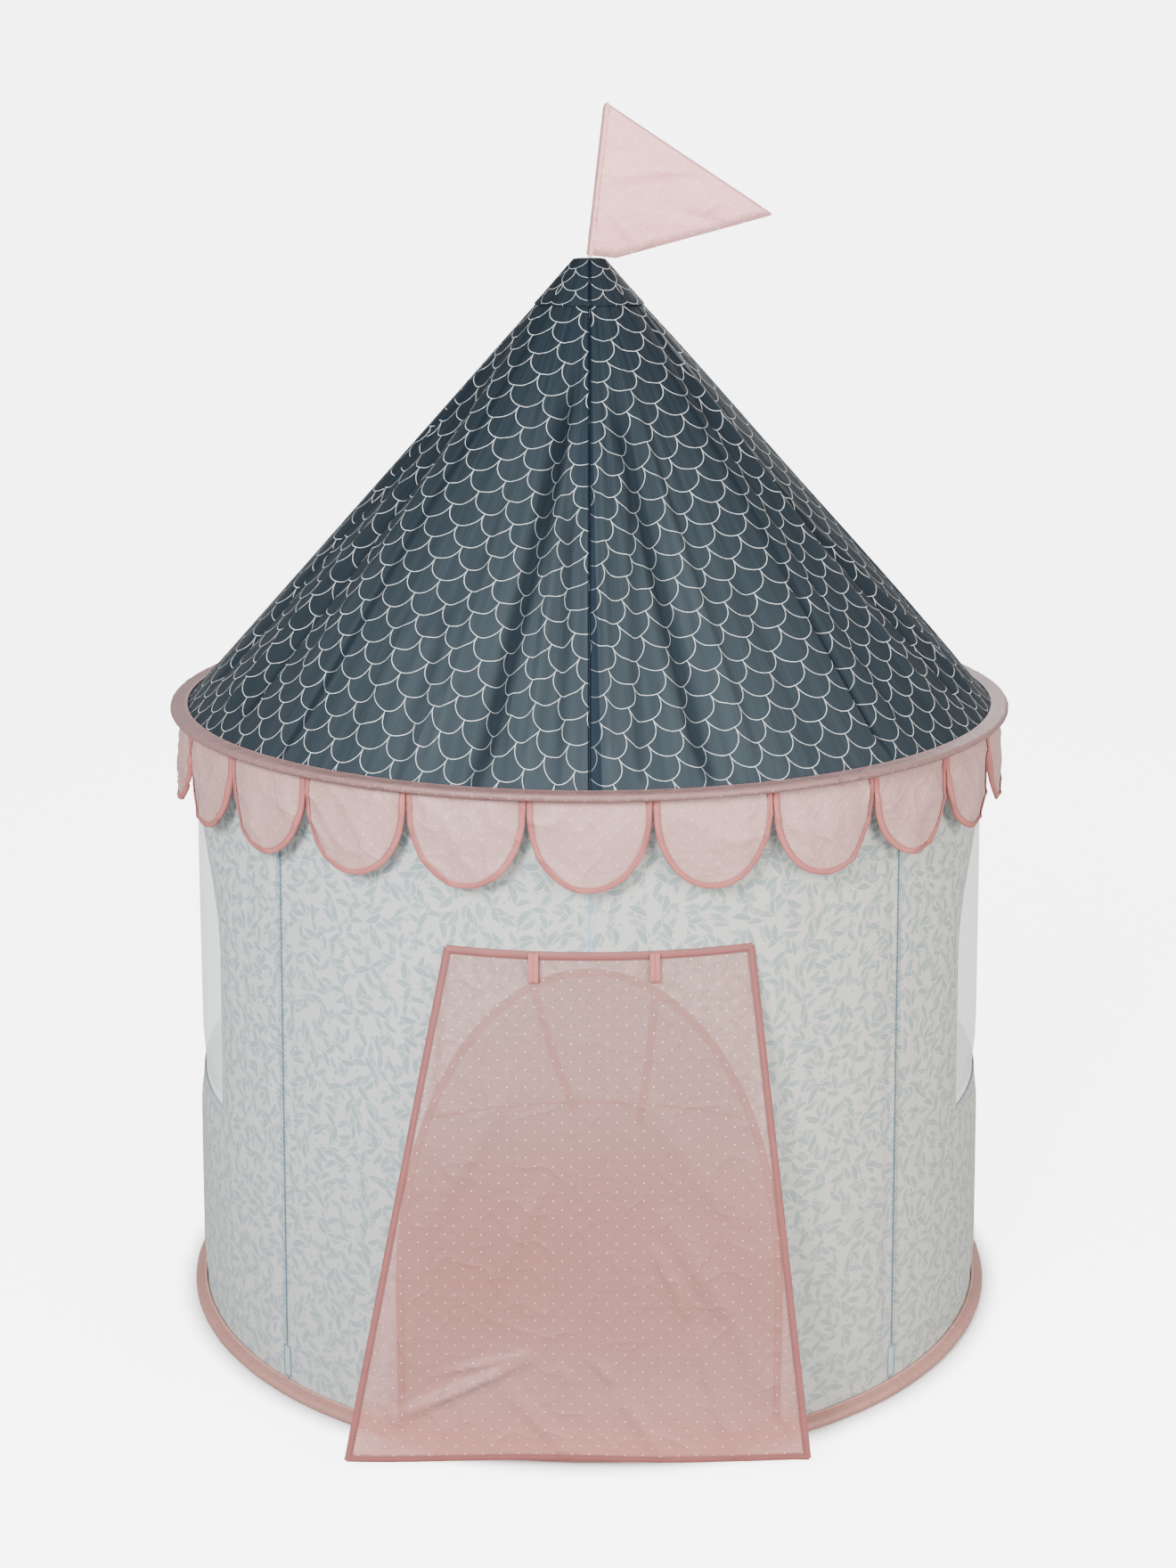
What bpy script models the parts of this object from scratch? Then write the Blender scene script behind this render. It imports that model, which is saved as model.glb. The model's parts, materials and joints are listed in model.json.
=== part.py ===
"""A round play tent for children: two sprung hoops, four bent pole lines, a cone roof and a flag.

Metres, +Z up. The origin is the centre of the base ring on the floor. The door faces -Y.
An angle of 0 degrees is the front of the tent and grows towards +X.
"""
import math

import bmesh
import bpy
from mathutils import Matrix, Vector

# Driving dimensions of the tent
BASE_RADIUS = 0.529
EAVES_RADIUS = 0.526
EAVES_HEIGHT = 0.785
BRIM_WIDTH = 0.023
ROOF_EDGE_RADIUS = EAVES_RADIUS - BRIM_WIDTH
APEX_HEIGHT = 1.318
APEX_RADIUS = 0.018
BASE_RIM_WIDTH = 0.016
WALL_BOTTOM_RADIUS = BASE_RADIUS - BASE_RIM_WIDTH
WALL_TOP_INSET = 0.011
WALL_TOP_RADIUS = ROOF_EDGE_RADIUS - WALL_TOP_INSET

# Cloth, tape and the clearance between two pieces that touch
CLOTH = 0.0015
TAPE = 0.0012
GAP = 0.0003
CUT_OVERRUN = 0.01

# Counts
SEGMENTS = 64
POLE_ANGLES = (45.0, 135.0, 225.0, 315.0)
PANELS = (("front_right", 0.0), ("back_right", 90.0), ("back_left", 180.0), ("front_left", 270.0))
QUARTER = 90.0
STEP = 360.0 / SEGMENTS
COLUMNS = round(QUARTER / STEP)

# Sprung hoops in their casings
WIRE_RADIUS = 0.002
WIRE_SIDES = 6
BASE_LOOP_RADIUS = 0.0066
EAVES_LOOP_RADIUS = 0.00575
BASE_COLLAR = 0.0155
BASE_TONGUE = 0.0045
EAVES_LIP = 0.008
EAVES_TUCK = 0.0015
EAVES_LEAF = 0.013
LOOP_POINTS = 4

# Poles, their joints and the fabric channels that hold them
POLE_RADIUS = 0.004
POLE_SIDES = 8
FERRULE_RADIUS = 0.005
FERRULE_LENGTH = 0.06
ROOF_POLE_BOW = 0.004
SOCKET_CLEARANCE = 0.0003
SOCKET_WALL = 0.0019
SOCKET_SIDES = 8
ELBOW_LEG = 0.042
ELBOW_BEND = 0.018
ELBOW_STEPS = 4
ROOF_POLE_LOW_SHARES = (0.2, 0.35)
ROOF_POLE_HIGH_SHARES = (0.65, 0.8)
ROOF_FERRULE_SHARE = 0.5
CHANNEL_CLEARANCE = 0.0003
CHANNEL_CLOTH = 0.0009
CHANNEL_MARGIN = 0.004
FOOT_CAP_LENGTH = 0.024
FOOT_CAP_WALL = 0.001
FOOT_CAP_END = 0.003
POCKET_LENGTH = 0.045

# Hub and mast at the apex
HUB_RADIUS = 0.014
HUB_HEIGHT = 0.056
HUB_SIDES = 16
HUB_SOCKET_REACH = 0.052
HUB_SOCKET_STOP = 0.026
HUB_CHAMFER = 0.00175
MAST_RADIUS = 0.0025
MAST_LEAN = 6.6
MAST_SEAT = 0.05
MAST_CHAMFER = 0.0008
MAST_SIDES = 10
CAP_SKIRT_RADIUS = 0.066

# Pennant
FLAG_HOIST = 0.178
FLAG_FLY = 0.215
FLAG_TIP_SHARE = 0.41
FLAG_FOOT_SHARE = 0.145
FLAG_BLUNT_SHARE = 0.985
FLAG_THICKNESS = 0.002
FLAG_SLEEVE_WALL = 0.001
FLAG_SLEEVE_END = 0.003
FLAG_WAVE = 0.006
FLAG_CLEAR_OF_ROOF = 0.004
FLAG_COLUMNS = 8
FLAG_ROWS = 5

# Valance of round petals
PETALS = 24
VALANCE_DROP = 0.096
VALANCE_BAND = 0.007
VALANCE_SETBACK = 0.0135
VALANCE_RADIUS = EAVES_RADIUS - VALANCE_SETBACK
VALANCE_FLARE = 0.002
PETAL_SIDE_GAP = 0.0015
PETAL_SHARES = (-1.0, -0.96, -0.82, -0.58, -0.3, 0.0, 0.3, 0.58, 0.82, 0.96, 1.0)
PETAL_SIDE_SHARE = 0.35

# Door, its flap and its ties
DOOR_HALF_WIDTH = 0.222
DOOR_SPRING_HEIGHT = 0.17
DOOR_TOP = 0.585
DOOR_SILL = BASE_COLLAR + GAP
ARCH_POINTS = 24
ARCH_TAPE_WIDTH = 0.009
ARCH_TAPE_THICKNESS = 0.0036
FLAP_TOP_HEIGHT = 0.603
FLAP_TOP_LEFT = -0.157
FLAP_TOP_RIGHT = 0.179
FLAP_BOTTOM_LEFT = -0.275
FLAP_BOTTOM_RIGHT = 0.249
FLAP_BOTTOM_HEIGHT = 0.016
FLAP_BOTTOM_STANDOFF = 0.0125
FLAP_BOTTOM_Y = -(BASE_RADIUS + FLAP_BOTTOM_STANDOFF)
FLAP_BORDER = 0.009
FLAP_BORDER_THICKNESS = 0.0026
FLAP_FOLD = 0.004
FLAP_WAVES = 1.6
FLAP_WAVE_START_SHARE = 0.15
FLAP_COLUMNS = 12
FLAP_ROWS = 12
LOOP_LENGTH = 0.033
LOOP_WIDTH = 0.012
LOOP_PLACES = (("left", -0.060), ("right", 0.070))
LOOP_STRIP = 0.0008
LOOP_OPEN = 0.0016
RIBBON_WIDTH = 0.009
RIBBON_THICKNESS = 0.0012
RIBBON_SETBACK = 0.0003
RIBBON_STEPS = 6
RIBBON_CURL = 1.3
RIBBONS = (("left", -0.060, 0.152, 0.044), ("right", 0.072, 0.158, -0.0165))

# Net windows
WINDOW_HALF_WIDTH = 0.225
WINDOW_SILL = 0.308
WINDOW_SPRING = 0.50
WINDOW_TOP = 0.69
WINDOW_POINTS = 16
NET_CLOTH = 0.0008
NET_MARGIN = 0.012
NET_ROWS = 4

# Roof folds
ROOF_ROWS = 8
ROOF_SAG = 0.006
RIDGE_SPREAD = 25.0
WALL_ROWS = 3

# Finishes: colour, roughness, metallic
FINISHES = {
    "roof_cloth": ((0.068, 0.098, 0.128), 0.62, 0.0),
    "wall_cloth": ((0.66, 0.69, 0.68), 0.8, 0.0),
    "pink_cloth": ((0.66, 0.42, 0.42), 0.72, 0.0),
    "pink_tape": ((0.52, 0.24, 0.25), 0.7, 0.0),
    "net": ((0.86, 0.87, 0.87), 0.85, 0.0),
    "lining": ((0.80, 0.81, 0.80), 0.85, 0.0),
    "rod": ((0.75, 0.75, 0.72), 0.35, 0.0),
    "hoop_wire": ((0.55, 0.56, 0.58), 0.35, 1.0),
    "socket_plastic": ((0.80, 0.80, 0.80), 0.45, 0.0),
    "foot_plastic": ((0.15, 0.15, 0.16), 0.55, 0.0),
}


def polar(radius, angle, height):
    """A point at an angle in degrees from the front of the tent, growing towards +X."""
    turn = math.radians(angle)
    return Vector((radius * math.sin(turn), -radius * math.cos(turn), height))


def finish(name):
    """One plain material for each finish."""
    material = bpy.data.materials.get(name)
    if material is None:
        colour, roughness, metallic = FINISHES[name]
        material = bpy.data.materials.new(name)
        material.use_nodes = True
        shader = material.node_tree.nodes["Principled BSDF"]
        shader.inputs["Base Color"].default_value = (*colour, 1.0)
        shader.inputs["Roughness"].default_value = roughness
        shader.inputs["Metallic"].default_value = metallic
    return material


def add_object(name, points, faces, finish_name, smooth_angle=30.0):
    """A named object from points and faces, its faces turned outwards and its rounds smooth."""
    mesh = bpy.data.meshes.new(name)
    mesh.from_pydata([tuple(point) for point in points], [], faces)
    shape = bmesh.new()
    shape.from_mesh(mesh)
    bmesh.ops.recalc_face_normals(shape, faces=shape.faces)
    shape.to_mesh(mesh)
    shape.free()
    mesh.shade_smooth()
    mesh.set_sharp_from_angle(angle=math.radians(smooth_angle))
    piece = bpy.data.objects.new(name, mesh)
    bpy.context.scene.collection.objects.link(piece)
    mesh.materials.append(finish(finish_name))
    return piece


def set_joint_origin(piece, pivot):
    """Moves the object's origin to a joint's axis and leaves its shape where it is."""
    piece.data.transform(Matrix.Translation(-pivot))
    piece.location = pivot
    return piece


def cloth_sheet(outer, inner, keep=None):
    """A closed cloth body from two grids of points, one on each face.

    keep[i][j] says whether the cell between rows i and i + 1 and columns j and j + 1 is cloth.
    """
    rows = len(outer) - 1
    columns = len(outer[0]) - 1
    if keep is None:
        keep = [[True] * columns for _ in range(rows)]
    number = {}
    points = []

    def corner(side, i, j):
        key = (side, i, j)
        if key not in number:
            number[key] = len(points)
            points.append((outer if side == 0 else inner)[i][j])
        return number[key]

    def is_kept(i, j):
        return 0 <= i < rows and 0 <= j < columns and keep[i][j]

    faces = []
    for i in range(rows):
        for j in range(columns):
            if not keep[i][j]:
                continue
            ring = ((i, j), (i, j + 1), (i + 1, j + 1), (i + 1, j))
            faces.append([corner(0, *place) for place in ring])
            faces.append([corner(1, *place) for place in reversed(ring)])
            beside = ((i - 1, j), (i, j + 1), (i + 1, j), (i, j - 1))
            for edge in range(4):
                if not is_kept(*beside[edge]):
                    a = ring[edge]
                    b = ring[(edge + 1) % 4]
                    faces.append([corner(0, *b), corner(0, *a), corner(1, *a), corner(1, *b)])
    return points, faces


def ring_body(profile, sides=SEGMENTS):
    """A closed outline of (radius, height) turned once round the tent's axis."""
    points = [polar(radius, STEP * SEGMENTS / sides * turn, height)
              for turn in range(sides) for radius, height in profile]
    count = len(profile)
    faces = []
    for turn in range(sides):
        following = (turn + 1) % sides
        for k in range(count):
            after = (k + 1) % count
            faces.append([turn * count + k, following * count + k,
                          following * count + after, turn * count + after])
    return points, faces


def frames_along(path, start_side):
    """A side and an up direction at each point of a path, square to its run."""
    frames = []
    for i, point in enumerate(path):
        before = path[max(i - 1, 0)]
        after = path[min(i + 1, len(path) - 1)]
        run = (after - before).normalized()
        side = (start_side - run * start_side.dot(run)).normalized()
        frames.append((point, side, run.cross(side)))
    return frames


def swept_rod(path, radii, sides, start_side, bore=None):
    """A rod along a path with a radius at each point, or a tube where a bore is given."""
    frames = frames_along(path, start_side)

    def ring(frame, radius):
        point, side, up = frame
        turns = [2 * math.pi * k / sides for k in range(sides)]
        return [point + side * (radius * math.cos(t)) + up * (radius * math.sin(t)) for t in turns]

    rings = [ring(frame, radius) for frame, radius in zip(frames, radii)]
    if bore is not None:
        rings += [ring(frame, bore) for frame in reversed(frames)]
    points = [point for one in rings for point in one]
    count = len(rings)
    faces = []
    for i in range(count if bore is not None else count - 1):
        following = (i + 1) % count
        for k in range(sides):
            after = (k + 1) % sides
            faces.append([i * sides + k, i * sides + after,
                          following * sides + after, following * sides + k])
    if bore is None:
        faces.append(list(range(sides)))
        faces.append([(count - 1) * sides + k for k in reversed(range(sides))])
    return points, faces


def swept_outline(outlines):
    """A solid carried through a row of closed outlines, with one list of points for each stop."""
    count = len(outlines[0])
    points = [point for outline in outlines for point in outline]
    faces = []
    for i in range(len(outlines) - 1):
        for k in range(count):
            after = (k + 1) % count
            faces.append([i * count + k, i * count + after,
                          (i + 1) * count + after, (i + 1) * count + k])
    faces.append(list(range(count)))
    faces.append([(len(outlines) - 1) * count + k for k in reversed(range(count))])
    return points, faces


def cylinder_between(name, start, end, radius, sides, side=Vector((0.0, 1.0, 0.0))):
    """A solid cylinder from one point to another, for joined pieces and cutters."""
    points, faces = swept_rod([start, end], (radius, radius), sides, side)
    return add_object(name, points, faces, "socket_plastic")


def apply_boolean(piece, operation, tool):
    """Joins a tool to a piece, or cuts it away, and removes the tool."""
    change = piece.modifiers.new(operation.lower(), "BOOLEAN")
    change.operation = operation
    change.solver = "EXACT"
    change.object = tool
    graph = bpy.context.evaluated_depsgraph_get()
    result = bpy.data.meshes.new_from_object(piece.evaluated_get(graph))
    piece.modifiers.clear()
    old = piece.data
    result.name = old.name
    piece.data = result
    bpy.data.meshes.remove(old)
    bpy.data.objects.remove(tool)
    return piece


def turned_on_axis(start, axis, stations, sides, side=Vector((0.0, 1.0, 0.0))):
    """A body turned about any axis, from (distance, radius) stations, closed at both ends."""
    axis = axis.normalized()
    side = (side - axis * axis.dot(side)).normalized()
    up = axis.cross(side)
    points = []
    for distance, radius in stations:
        for k in range(sides):
            turn = 2 * math.pi * k / sides
            spoke = side * math.cos(turn) + up * math.sin(turn)
            points.append(start + axis * distance + spoke * radius)
    faces = []
    for i in range(len(stations) - 1):
        for k in range(sides):
            after = (k + 1) % sides
            faces.append([i * sides + k, i * sides + after,
                          (i + 1) * sides + after, (i + 1) * sides + k])
    faces.append(list(range(sides)))
    faces.append([(len(stations) - 1) * sides + k for k in reversed(range(sides))])
    return points, faces


# Where the cloth lies: the wall is a gently tapered tube and the roof is a cone

ROOF_RUN = ROOF_EDGE_RADIUS - APEX_RADIUS
ROOF_RISE = APEX_HEIGHT - EAVES_HEIGHT
ROOF_PITCH = math.atan2(ROOF_RISE, ROOF_RUN)
SOCKET_BORE = POLE_RADIUS + SOCKET_CLEARANCE
SOCKET_RADIUS = SOCKET_BORE + SOCKET_WALL
CHANNEL_BORE = FERRULE_RADIUS + CHANNEL_CLEARANCE
CHANNEL_RADIUS = CHANNEL_BORE + CHANNEL_CLOTH
POLE_INSET = CLOTH + GAP + max(SOCKET_RADIUS, CHANNEL_RADIUS)


def roof_height(radius):
    """Height of the cone's outer face, away from its ridges."""
    return EAVES_HEIGHT + (ROOF_EDGE_RADIUS - radius) * math.tan(ROOF_PITCH)


WALL_TOP = roof_height(WALL_TOP_RADIUS) - (CLOTH + GAP) / math.cos(ROOF_PITCH)
WALL_FOOT = TAPE + GAP
POLE_CORNER_RADIUS = WALL_TOP_RADIUS - POLE_INSET


def wall_radius(height):
    """Radius of the wall's outer face."""
    return WALL_BOTTOM_RADIUS + (WALL_TOP_RADIUS - WALL_BOTTOM_RADIUS) * height / WALL_TOP


def span_share(share):
    """How far a pole or the cloth on it stands out, from none at its ends to full in the middle."""
    return math.sin(math.pi * share) ** 2


def from_nearest_pole(angle):
    """Degrees from an angle to the nearest of the four pole lines."""
    return min(abs((angle - pole + 180.0) % 360.0 - 180.0) for pole in POLE_ANGLES)


def roof_swell(angle, share):
    """How far the roof stands off its cone: a ridge on each pole and a soft sag beside it."""
    away = from_nearest_pole(angle)
    ridge = ROOF_POLE_BOW * max(0.0, 1.0 - away / RIDGE_SPREAD) ** 2
    sag = ROOF_SAG * math.sin(math.pi * away / (QUARTER / 2)) ** 2
    return (ridge - sag) * span_share(share)


def roof_point(angle, share, depth=0.0):
    """A point of the roof, from its edge at share 0 to the apex at share 1."""
    out = roof_swell(angle, share) - depth
    radius = ROOF_EDGE_RADIUS - ROOF_RUN * share + out * math.sin(ROOF_PITCH)
    height = EAVES_HEIGHT + ROOF_RISE * share + out * math.cos(ROOF_PITCH)
    return polar(radius, angle, height)


def make_hoop(name, radius, height):
    """The sprung wire ring inside a casing."""
    profile = []
    for k in range(WIRE_SIDES):
        turn = 2 * math.pi * k / WIRE_SIDES
        profile.append((radius + WIRE_RADIUS * math.cos(turn), height + WIRE_RADIUS * math.sin(turn)))
    return add_object(name, *ring_body(profile), "hoop_wire", 80.0)


def half_loop(centre_radius, centre_height, loop_radius):
    """Points round the outer half of a casing's loop, from its foot to its crown."""
    points = []
    for k in range(LOOP_POINTS + 1):
        turn = math.pi * (k / LOOP_POINTS - 0.5)
        points.append((centre_radius + loop_radius * math.cos(turn),
                       centre_height + loop_radius * math.sin(turn)))
    return points


def make_base_ring():
    """The pink casing on the floor, folded round the lower hoop and up the outside of the wall."""
    centre = BASE_RADIUS - BASE_LOOP_RADIUS
    wall_side = WALL_BOTTOM_RADIUS + GAP
    tongue = WALL_BOTTOM_RADIUS - CLOTH - BASE_TONGUE
    outside = half_loop(centre, BASE_LOOP_RADIUS, BASE_LOOP_RADIUS)
    inside = half_loop(centre, BASE_LOOP_RADIUS, BASE_LOOP_RADIUS - TAPE)
    profile = [(tongue, 0.0), *outside, (wall_side, BASE_COLLAR)]
    profile += [(wall_side, BASE_COLLAR - TAPE), *reversed(inside), (tongue, TAPE)]
    add_object("base_casing", *ring_body(profile), "pink_tape", 40.0)
    hoop_radius = BASE_RADIUS - TAPE - GAP - WIRE_RADIUS
    make_hoop("base_hoop", hoop_radius, BASE_LOOP_RADIUS)


EAVES_CROWN = EAVES_HEIGHT + GAP + TAPE
EAVES_FOOT = EAVES_CROWN - 2 * EAVES_LOOP_RADIUS


def make_eaves_ring():
    """The brim: a pink casing round the upper hoop, its upper leaf on the hem of the roof."""
    centre = EAVES_RADIUS - EAVES_LOOP_RADIUS
    height = EAVES_CROWN - EAVES_LOOP_RADIUS
    outside = half_loop(centre, height, EAVES_LOOP_RADIUS)
    inside = half_loop(centre, height, EAVES_LOOP_RADIUS - TAPE)
    upper_end = ROOF_EDGE_RADIUS + EAVES_TUCK
    lower_end = centre - EAVES_LEAF
    profile = [(lower_end, EAVES_FOOT), *outside, (upper_end, EAVES_CROWN)]
    profile += [(upper_end, EAVES_CROWN - TAPE), *reversed(inside), (lower_end, EAVES_FOOT + TAPE)]
    add_object("eaves_casing", *ring_body(profile), "pink_tape", 40.0)
    make_hoop("eaves_hoop", EAVES_RADIUS - TAPE - GAP - WIRE_RADIUS, height)


def panel_angles(start, radius):
    """Angles across a quarter of the tent, held back from both seams by half the gap."""
    angles = [start + STEP * k for k in range(COLUMNS + 1)]
    hold_back = math.degrees(GAP / 2 / radius)
    angles[0] += hold_back
    angles[-1] -= hold_back
    return angles


def make_roof_panels():
    """Four gores, each with a flat hem tucked under the brim and a ridge over its pole."""
    mitre = CLOTH * math.tan(ROOF_PITCH / 2)
    hem = ROOF_EDGE_RADIUS + EAVES_LIP
    shares = [k / ROOF_ROWS for k in range(1, ROOF_ROWS + 1)]
    for name, start in PANELS:
        angles = panel_angles(start, ROOF_EDGE_RADIUS)
        outer = [[polar(hem, angle, EAVES_HEIGHT) for angle in angles],
                 [polar(ROOF_EDGE_RADIUS, angle, EAVES_HEIGHT) for angle in angles]]
        inner = [[polar(hem, angle, EAVES_HEIGHT - CLOTH) for angle in angles],
                 [polar(ROOF_EDGE_RADIUS - mitre, angle, EAVES_HEIGHT - CLOTH) for angle in angles]]
        # Near the apex half a gap is a wider angle, so each row has its own angles
        for share in shares:
            angles = panel_angles(start, ROOF_EDGE_RADIUS - ROOF_RUN * share)
            outer.append([roof_point(angle, share) for angle in angles])
            inner.append([roof_point(angle, share, CLOTH) for angle in angles])
        add_object(f"roof_panel_{name}", *cloth_sheet(outer, inner), "roof_cloth", 50.0)


def make_apex_cap():
    """The doubled cloth over the tip of the roof, with a hole for the mast."""
    lift = GAP / math.cos(ROOF_PITCH)
    top = APEX_HEIGHT + lift
    thick = TAPE / math.cos(ROOF_PITCH)
    hole = MAST_RADIUS + FLAG_CLEAR_OF_ROOF
    # The skirt clears the ridges, which rise in a straight line from the apex to the first row
    rows_down = ROOF_ROWS * (CAP_SKIRT_RADIUS - APEX_RADIUS) / ROOF_RUN
    ridge = ROOF_POLE_BOW * span_share(1.0 - 1.0 / ROOF_ROWS) * rows_down
    skirt = roof_height(CAP_SKIRT_RADIUS) + lift + ridge / math.cos(ROOF_PITCH)
    profile = [(hole, top), (APEX_RADIUS, top), (CAP_SKIRT_RADIUS, skirt),
               (CAP_SKIRT_RADIUS, skirt + thick), (APEX_RADIUS, top + TAPE), (hole, top + TAPE)]
    add_object("apex_cap", *ring_body(profile), "roof_cloth", 40.0)


def wall_sheet(start):
    """One plain quarter of the wall, before its openings are cut."""
    angles = panel_angles(start, WALL_TOP_RADIUS)
    heights = [WALL_FOOT + (WALL_TOP - WALL_FOOT) * k / WALL_ROWS for k in range(WALL_ROWS + 1)]
    outer = [[polar(wall_radius(z), angle, z) for angle in angles] for z in heights]
    inner = [[polar(wall_radius(z) - CLOTH, angle, z) for angle in angles] for z in heights]
    return cloth_sheet(outer, inner)


def arch_outline(half_width, sill, spring, top, count, inset=0.0):
    """(across, height) points round an arch: up one side, over a half ellipse, down the other."""
    points = [(half_width - inset, sill)]
    for k in range(count + 1):
        turn = math.pi * k / count
        points.append(((half_width - inset) * math.cos(turn),
                       spring + (top - spring - inset) * math.sin(turn)))
    points.append((-(half_width - inset), sill))
    return points


def arch_cutter(name, outline, facing):
    """A prism of an arch's outline, from inside the tent to outside it along one direction."""
    across = Vector((0, 0, 1)).cross(facing)
    near = facing * (WALL_TOP_RADIUS / 2)
    far = facing * (WALL_BOTTOM_RADIUS + CUT_OVERRUN)
    rise = Vector((0, 0, 1))
    loops = [[base + across * x + rise * z for x, z in outline] for base in (near, far)]
    return add_object(name, *swept_outline(loops), "wall_cloth")


DOOR_OUTLINE = arch_outline(DOOR_HALF_WIDTH, DOOR_SILL, DOOR_SPRING_HEIGHT, DOOR_TOP, ARCH_POINTS)
WINDOW_OUTLINE = arch_outline(WINDOW_HALF_WIDTH, WINDOW_SILL, WINDOW_SPRING, WINDOW_TOP,
                              WINDOW_POINTS)


def make_wall_panels():
    """Four wall panels: an arched net window across each side seam and a door in the front."""
    for name, start in PANELS:
        panel = add_object(f"wall_panel_{name}", *wall_sheet(start), "wall_cloth", 40.0)
        side = 1.0 if name.endswith("right") else -1.0
        facing = Vector((side, 0.0, 0.0))
        apply_boolean(panel, "DIFFERENCE", arch_cutter("window_cutter", WINDOW_OUTLINE, facing))
        if name.startswith("front"):
            facing = Vector((0.0, -1.0, 0.0))
            apply_boolean(panel, "DIFFERENCE", arch_cutter("door_cutter", DOOR_OUTLINE, facing))


def make_window_nets():
    """Sheer net behind each window, sewn to the inside of the wall all round."""
    outline = arch_outline(WINDOW_HALF_WIDTH + NET_MARGIN, WINDOW_SILL - NET_MARGIN,
                           WINDOW_SPRING, WINDOW_TOP + NET_MARGIN, WINDOW_POINTS)
    half_columns = math.ceil(math.degrees(math.asin(outline[0][0] / WALL_TOP_RADIUS)) / STEP)
    low = WINDOW_SILL - 2 * NET_MARGIN
    high = WINDOW_TOP + 2 * NET_MARGIN
    heights = [low + (high - low) * k / NET_ROWS for k in range(NET_ROWS + 1)]
    for name, middle in (("right", QUARTER), ("left", 3 * QUARTER)):
        angles = [middle + STEP * k for k in range(-half_columns, half_columns + 1)]
        depth = CLOTH + GAP
        outer = [[polar(wall_radius(z) - depth, angle, z) for angle in angles] for z in heights]
        depth += NET_CLOTH
        inner = [[polar(wall_radius(z) - depth, angle, z) for angle in angles] for z in heights]
        net = add_object(f"window_net_{name}", *cloth_sheet(outer, inner), "net", 40.0)
        facing = polar(1.0, middle, 0.0)
        apply_boolean(net, "INTERSECT", arch_cutter("net_cutter", outline, facing))


def on_wall(across, height, lift):
    """The point in front of the wall's middle layer at a place across the front of the tent."""
    radius = wall_radius(height) - CLOTH / 2 + lift
    return Vector((across, -math.sqrt(radius ** 2 - across ** 2), height))


def make_door_binding():
    """The pink tape round the arch of the doorway, butted to the cut edge of the wall."""
    edge = arch_outline(DOOR_HALF_WIDTH, DOOR_SILL, DOOR_SPRING_HEIGHT, DOOR_TOP, ARCH_POINTS, GAP)
    lip = arch_outline(DOOR_HALF_WIDTH, DOOR_SILL, DOOR_SPRING_HEIGHT, DOOR_TOP, ARCH_POINTS,
                       GAP + ARCH_TAPE_WIDTH)
    half = ARCH_TAPE_THICKNESS / 2
    outlines = []
    for (x_edge, z_edge), (x_lip, z_lip) in zip(edge, lip):
        outlines.append([on_wall(x_edge, z_edge, half), on_wall(x_lip, z_lip, half),
                         on_wall(x_lip, z_lip, -half), on_wall(x_edge, z_edge, -half)])
    add_object("door_arch_binding", *swept_outline(outlines), "pink_tape", 40.0)


def petal_drop(share):
    """How far a petal hangs at a place across it, from -1 at one side to 1 at the other."""
    free = VALANCE_DROP - VALANCE_BAND
    round_part = math.sqrt(max(0.0, 1.0 - share ** 2))
    return VALANCE_BAND + free * (PETAL_SIDE_SHARE + (1.0 - PETAL_SIDE_SHARE) * round_part)


def make_valance():
    """Four strips of six round petals that hang under the brim."""
    pitch = 360.0 / PETALS
    half = pitch / 2 - math.degrees(PETAL_SIDE_GAP / 2 / VALANCE_RADIUS)
    top = EAVES_FOOT - GAP
    per_strip = PETALS // len(PANELS)
    for name, start in PANELS:
        angles = []
        drops = []
        for petal in range(per_strip):
            middle = start + pitch * petal
            angles += [middle + half * share for share in PETAL_SHARES]
            drops += [petal_drop(share) for share in PETAL_SHARES]
        count = len(PETAL_SHARES)
        keep_band = [True] * (len(angles) - 1)
        keep_petal = [(k + 1) % count != 0 for k in range(len(angles) - 1)]
        outer = []
        inner = []
        for level in range(3):
            row_out = []
            row_in = []
            for angle, drop in zip(angles, drops):
                fall = (0.0, VALANCE_BAND, drop)[level]
                radius = VALANCE_RADIUS + VALANCE_FLARE * fall / VALANCE_DROP
                row_out.append(polar(radius, angle, top - fall))
                row_in.append(polar(radius - CLOTH, angle, top - fall))
            outer.append(row_out)
            inner.append(row_in)
        sheet = cloth_sheet(outer, inner, [keep_band, keep_petal])
        add_object(f"valance_{name}", *sheet, "pink_cloth", 40.0)


FLAP_STANDOFF = (ARCH_TAPE_THICKNESS - CLOTH) / 2 + GAP
FLAP_HEIGHT = FLAP_TOP_HEIGHT - FLAP_BOTTOM_HEIGHT
FLAP_TOP_RADIUS = wall_radius(FLAP_TOP_HEIGHT) + FLAP_STANDOFF + CLOTH
FLAP_HINGE = Vector((0.0, -FLAP_TOP_RADIUS, FLAP_TOP_HEIGHT))


def flap_width(down):
    """Width of the flap at a share of the way down."""
    top = FLAP_TOP_RIGHT - FLAP_TOP_LEFT
    bottom = FLAP_BOTTOM_RIGHT - FLAP_BOTTOM_LEFT
    return top + (bottom - top) * down


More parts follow.
